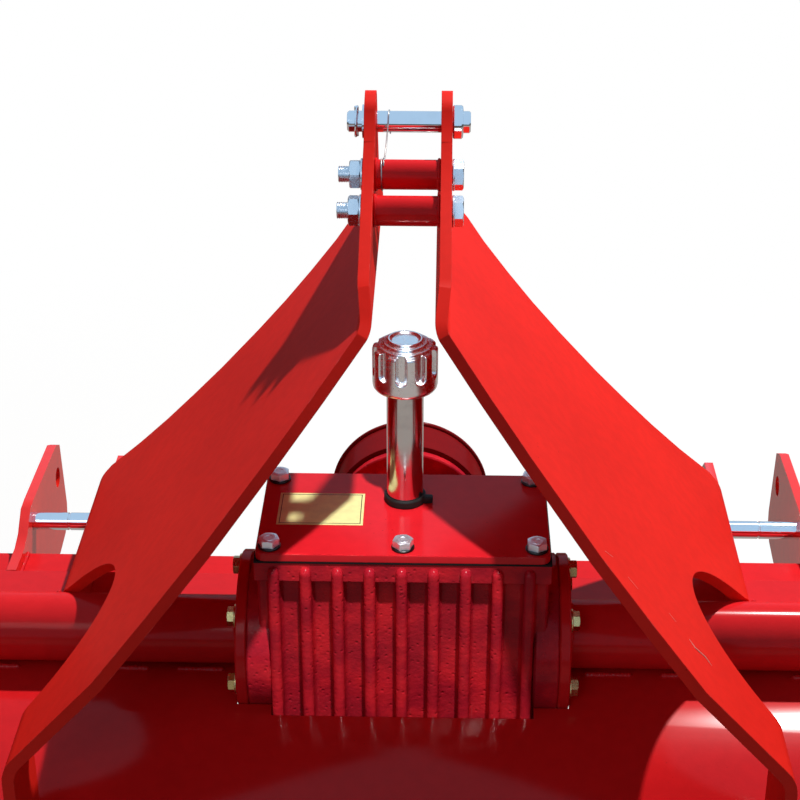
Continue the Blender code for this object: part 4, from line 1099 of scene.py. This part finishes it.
def welds():
    """Beads between the bar, ears, tube, hood, mast and side plates."""
    beads = []
    axis = (0.0, 0.0)
    for ear, side in EARS:
        for face in (ear, ear + EAR_THICK):
            x = side * face
            top = [(x, y, BAR_TOP + 0.0006) for y in (BAR_REAR + 0.003, BAR_FRONT - 0.0005)]
            front = [(x, BAR_FRONT + 0.0005, z) for z in (BAR_TOP - 0.0006, -0.105)]
            beads += [bead(top, 0.0024), bead(front, 0.0024)]
    for side in (-1, 1):
        for out in (1, -1):
            x = side * (SLOPE_FOOT[0] + out * (MAST_HALF_THICK + 0.0005))
            beads.append(bead(arc_about_x(x, axis, TUBE_RADIUS + 0.0005, -50.0, 50.0, 20), 0.0022))
        x = side * (TUBE_END - 0.0015)
        beads.append(bead(arc_about_x(x, axis, TUBE_RADIUS + 0.001, -20.0, 200.0, 22), 0.003))
        for out in (-1, 1):
            x = side * (SLOPE_FOOT[0] + out * (MAST_HALF_THICK + 0.0002))
            foot = [-0.234 + 0.07 * step / 12.0 for step in range(13)]
            beads.append(bead([(x, y, hood_level(y, HOOD_RADIUS + 0.0001)) for y in foot], 0.0024))
        for low in (0.165, 0.235, 0.355, 0.425, 0.495, 0.565):
            run = [(side * x, -0.02, -TUBE_RADIUS - 0.0003) for x in (low, low + 0.045)]
            beads.append(bead(run, 0.003))
        x = side * (TUBE_END - 0.001)
        end = [(x, y, BAR_TOP + 0.0002) for y in (BAR_REAR + 0.003, BAR_FRONT - 0.002)]
        beads.append(bead(end, 0.0026))
    piece("weld_beads", join(beads), "weld_paint", sharp=80.0)


def rotor_screws():
    """Two bolts through each tine and its flange, with nuts behind."""
    heads = []
    nuts = []
    half_span = 0.5
    pitch = 2.0 * half_span / 5.0
    for station in range(6):
        middle = (station - 2.5) * pitch
        for index in range(6):
            lean = 1 if index % 2 == 0 else -1
            angle = math.tau * (index + station / 6.0) / 6.0
            for radius in (0.046, 0.061):
                y = ROTOR_AXIS[0] - radius * math.sin(angle)
                z = ROTOR_AXIS[1] + radius * math.cos(angle)
                heads.append(((middle + lean * 0.012, y, z), (lean, 0.0, 0.0), angle))
                nuts.append(((middle - lean * 0.005, y, z), (-lean, 0.0, 0.0), angle))
    scatter("tine_bolts", head_bolt(0.015, 0.006), heads, "bare_steel", "rotor_body")
    scatter("tine_nuts", hexagon(0.015, 0.007, both=True, sides=24), nuts, "bare_steel", "rotor_body")


def side_screws():
    """Screws of the drive case, the bearing hub and the skids."""
    case_face = -0.6953
    outwards = (-1.0, 0.0, 0.0)
    pans = []
    for centre, radius, angles in (((0.0, 0.0), 0.069, (-5.0, 40.0, 90.0, 140.0, 185.0)),
                                   (ROTOR_AXIS, 0.064, (-5.0, -50.0, -90.0, -130.0, -175.0))):
        for angle in angles:
            turn = math.radians(angle)
            y = centre[0] + radius * math.cos(turn)
            z = centre[1] + radius * math.sin(turn)
            pans.append(((case_face, y, z), outwards, turn))
    for share in (0.33, 0.67):
        for side in (-1, 1):
            place = (case_face, ROTOR_AXIS[0] * share + side * 0.0675, ROTOR_AXIS[1] * share)
            pans.append((place, outwards, share))
    low_head = lathe([(0.0, 0.0), (0.0075, 0.0), (0.0075, 0.0005), (0.006, 0.0012), (0.003, 0.0012),
                      (0.0028, 0.0006), (0.0, 0.0006)], sides=36)
    scatter("case_screws", low_head, pans, "zinc")
    hub = bolt_circle(0.6406, 0.055, 30.0, 1, ROTOR_AXIS)
    scatter("hub_screws", head_bolt(0.013, 0.0055, 0.0085, 0.0014), hub, "zinc")
    soles = []
    backs = []
    sole_z = -0.464
    for side in (-1, 1):
        for y in (-0.185, -0.035, 0.115):
            soles.append(((side * 0.6346, y, sole_z), (side, 0.0, 0.0), y * 9.0))
            backs.append(((side * (TUBE_END + 0.0003), y, sole_z), (-side, 0.0, 0.0), 0.5))
    scatter("skid_screws", head_bolt(0.017, 0.0065, 0.012, 0.002), soles, "zinc")
    scatter("skid_nuts", stud_nut(0.017, 0.008, 0.006, 0.012, 0.002), backs, "zinc")
    tip = lathe([(0.0, 0.0), (0.0028, 0.0), (0.0028, 0.007), (0.002, 0.008), (0.003, 0.0095),
                 (0.0024, 0.0115), (0.0, 0.0118)], sides=24)
    nipple = join([hexagon(0.009, 0.004, sides=24), tip])
    scatter("grease_nipple", nipple, [((0.64, ROTOR_AXIS[0], -0.239), (0.0, 0.0, 1.0), 0.0)],
            "yellow_zinc")


def hinge_trim():
    """Washers and split pins at the ends of the hinge rod."""
    y, z = HINGE
    pin_x = 0.595
    ends = []
    for side in (-1, 1):
        ring = hoop(0.0062, 0.012, 0.59, 0.592, axis="X", sides=36, centre=(0.0, y, z))
        pin = sweep([(pin_x, y, z - 0.013), (pin_x, y, z + 0.009)], 0.0015, 10)
        eye = [(x, y, up) for up, x in arc_points((z + 0.0115, pin_x), 0.0028, 180.0, -162.0, 19)]
        ends.append(sided(join([ring, pin, sweep(eye, 0.001, 8, True)]), side))
    piece("hinge_ends", join(ends), "zinc")


gearbox_casting()
tubes()
gearbox_cover_trim()
filler()
input_side()
mast_plates()
plate_scores()
mast_fasteners()
lanyard()
lower_pins()
welds()
rotor_screws()
side_screws()
hinge_trim()


# Stage


def ray_kinds(tree):
    """Masks of the rays from the camera, and of those that glossy or clear surfaces send on."""
    rays = tree.add("ShaderNodeLightPath").outputs
    return rays["Is Camera Ray"], tree.math("MAXIMUM", rays["Is Glossy Ray"], rays["Is Transmission Ray"])


def stage():
    """Floor that looks white to the camera, grey to the glossy pieces, and takes shadows."""
    mesh = bmesh.new()
    bmesh.ops.create_grid(mesh, x_segments=1, y_segments=1, size=9.0)
    floor = placed("floor", as_data("floor", mesh))
    material = bpy.data.materials.new("floor_white")
    material.use_nodes = True
    tree = Tree(material.node_tree)
    material.node_tree.nodes.clear()
    direct, mirrored = ray_kinds(tree)
    seen = tree.math("MAXIMUM", direct, mirrored)
    away = tree.length(tree.add("ShaderNodeTexCoord").outputs["Object"])
    glossy_floor = tree.mix(tree.step(away, 2.2, 3.6), (0.46, 0.41, 0.38), (0.08, 0.075, 0.07))
    shown = tree.mix(mirrored, (1.0, 1.0, 1.0), glossy_floor)
    diffuse = tree.add("ShaderNodeBsdfDiffuse", {
        "Color": tree.mix(direct, (0.28, 0.27, 0.26), (0.92, 0.92, 0.92))})
    white = tree.add("ShaderNodeEmission", {"Color": shown})
    share = tree.math("MULTIPLY", seen, tree.step(away, 0.9, 2.2, 0.74, 1.0))
    mixed = tree.add("ShaderNodeMixShader", {0: share, 1: diffuse.outputs[0], 2: white.outputs[0]})
    tree.add("ShaderNodeOutputMaterial", {"Surface": mixed.outputs[0]})
    floor.data.materials.append(material)


def area_light(name, place, aim, size, power, colour=(1.0, 1.0, 1.0)):
    data = bpy.data.lights.new(name, "AREA")
    data.shape = "DISK"
    data.size = size
    data.energy = power
    data.color = colour
    lamp = placed(name, data)
    lamp.location = place
    lamp.rotation_euler = (Vector(aim) - Vector(place)).to_track_quat("-Z", "Y").to_euler()
    return lamp


def light_only(lamp, prefixes):
    """Keeps a lamp to the pieces whose names start so; the others still cast their shadow in it."""
    lit = bpy.data.collections.new(lamp.name + "_lit")
    for made in bpy.context.scene.objects:
        if made.name.startswith(prefixes):
            lit.objects.link(made)
    lamp.light_linking.receiver_collection = lit


def world_light():
    """Dim light from all round, which looks white to the camera and pale blue in gloss."""
    world = bpy.data.worlds.new("studio")
    bpy.context.scene.world = world
    world.use_nodes = True
    tree = Tree(world.node_tree)
    direct, mirrored = ray_kinds(tree)
    seen = tree.math("MAXIMUM", direct, tree.math("MULTIPLY", mirrored, 0.9))
    tree.give(world.node_tree.nodes["Background"], {
        "Color": tree.mix(mirrored, (1.0, 1.0, 1.0), (0.5, 0.74, 1.0)),
        "Strength": tree.math("MAXIMUM", seen, 0.15)})


def camera():
    pitch = math.radians(27.5)
    yaw = math.radians(1.4)
    ahead = Vector((-math.sin(yaw) * math.cos(pitch), math.cos(yaw) * math.cos(pitch), -math.sin(pitch)))
    data = bpy.data.cameras.new("camera")
    data.lens = 83.8
    data.sensor_width = 36.0
    eye = placed("camera", data)
    eye.location = (0.0309, -1.4225, 1.515)
    eye.rotation_euler = ahead.to_track_quat("-Z", "Y").to_euler()
    bpy.context.scene.camera = eye


stage()
area_light("key", (1.16, 1.82, 4.08), (0.0, 0.0, 0.7), 0.12, 205.0, (1.0, 0.985, 0.96))
second = area_light("second", (0.42, -1.75, 5.2), (0.0, 0.0, 0.62), 0.16, 290.0, (1.0, 0.99, 0.98))
light_only(second, ("gearbox", "cover", "yellow_plate", "filler", "breather", "flange_screws"))
area_light("fill", (-0.9, -2.8, 2.6), (0.0, 0.0, 0.6), 1.2, 8.0)
world_light()
camera()
bpy.context.scene.view_settings.view_transform = "Standard"
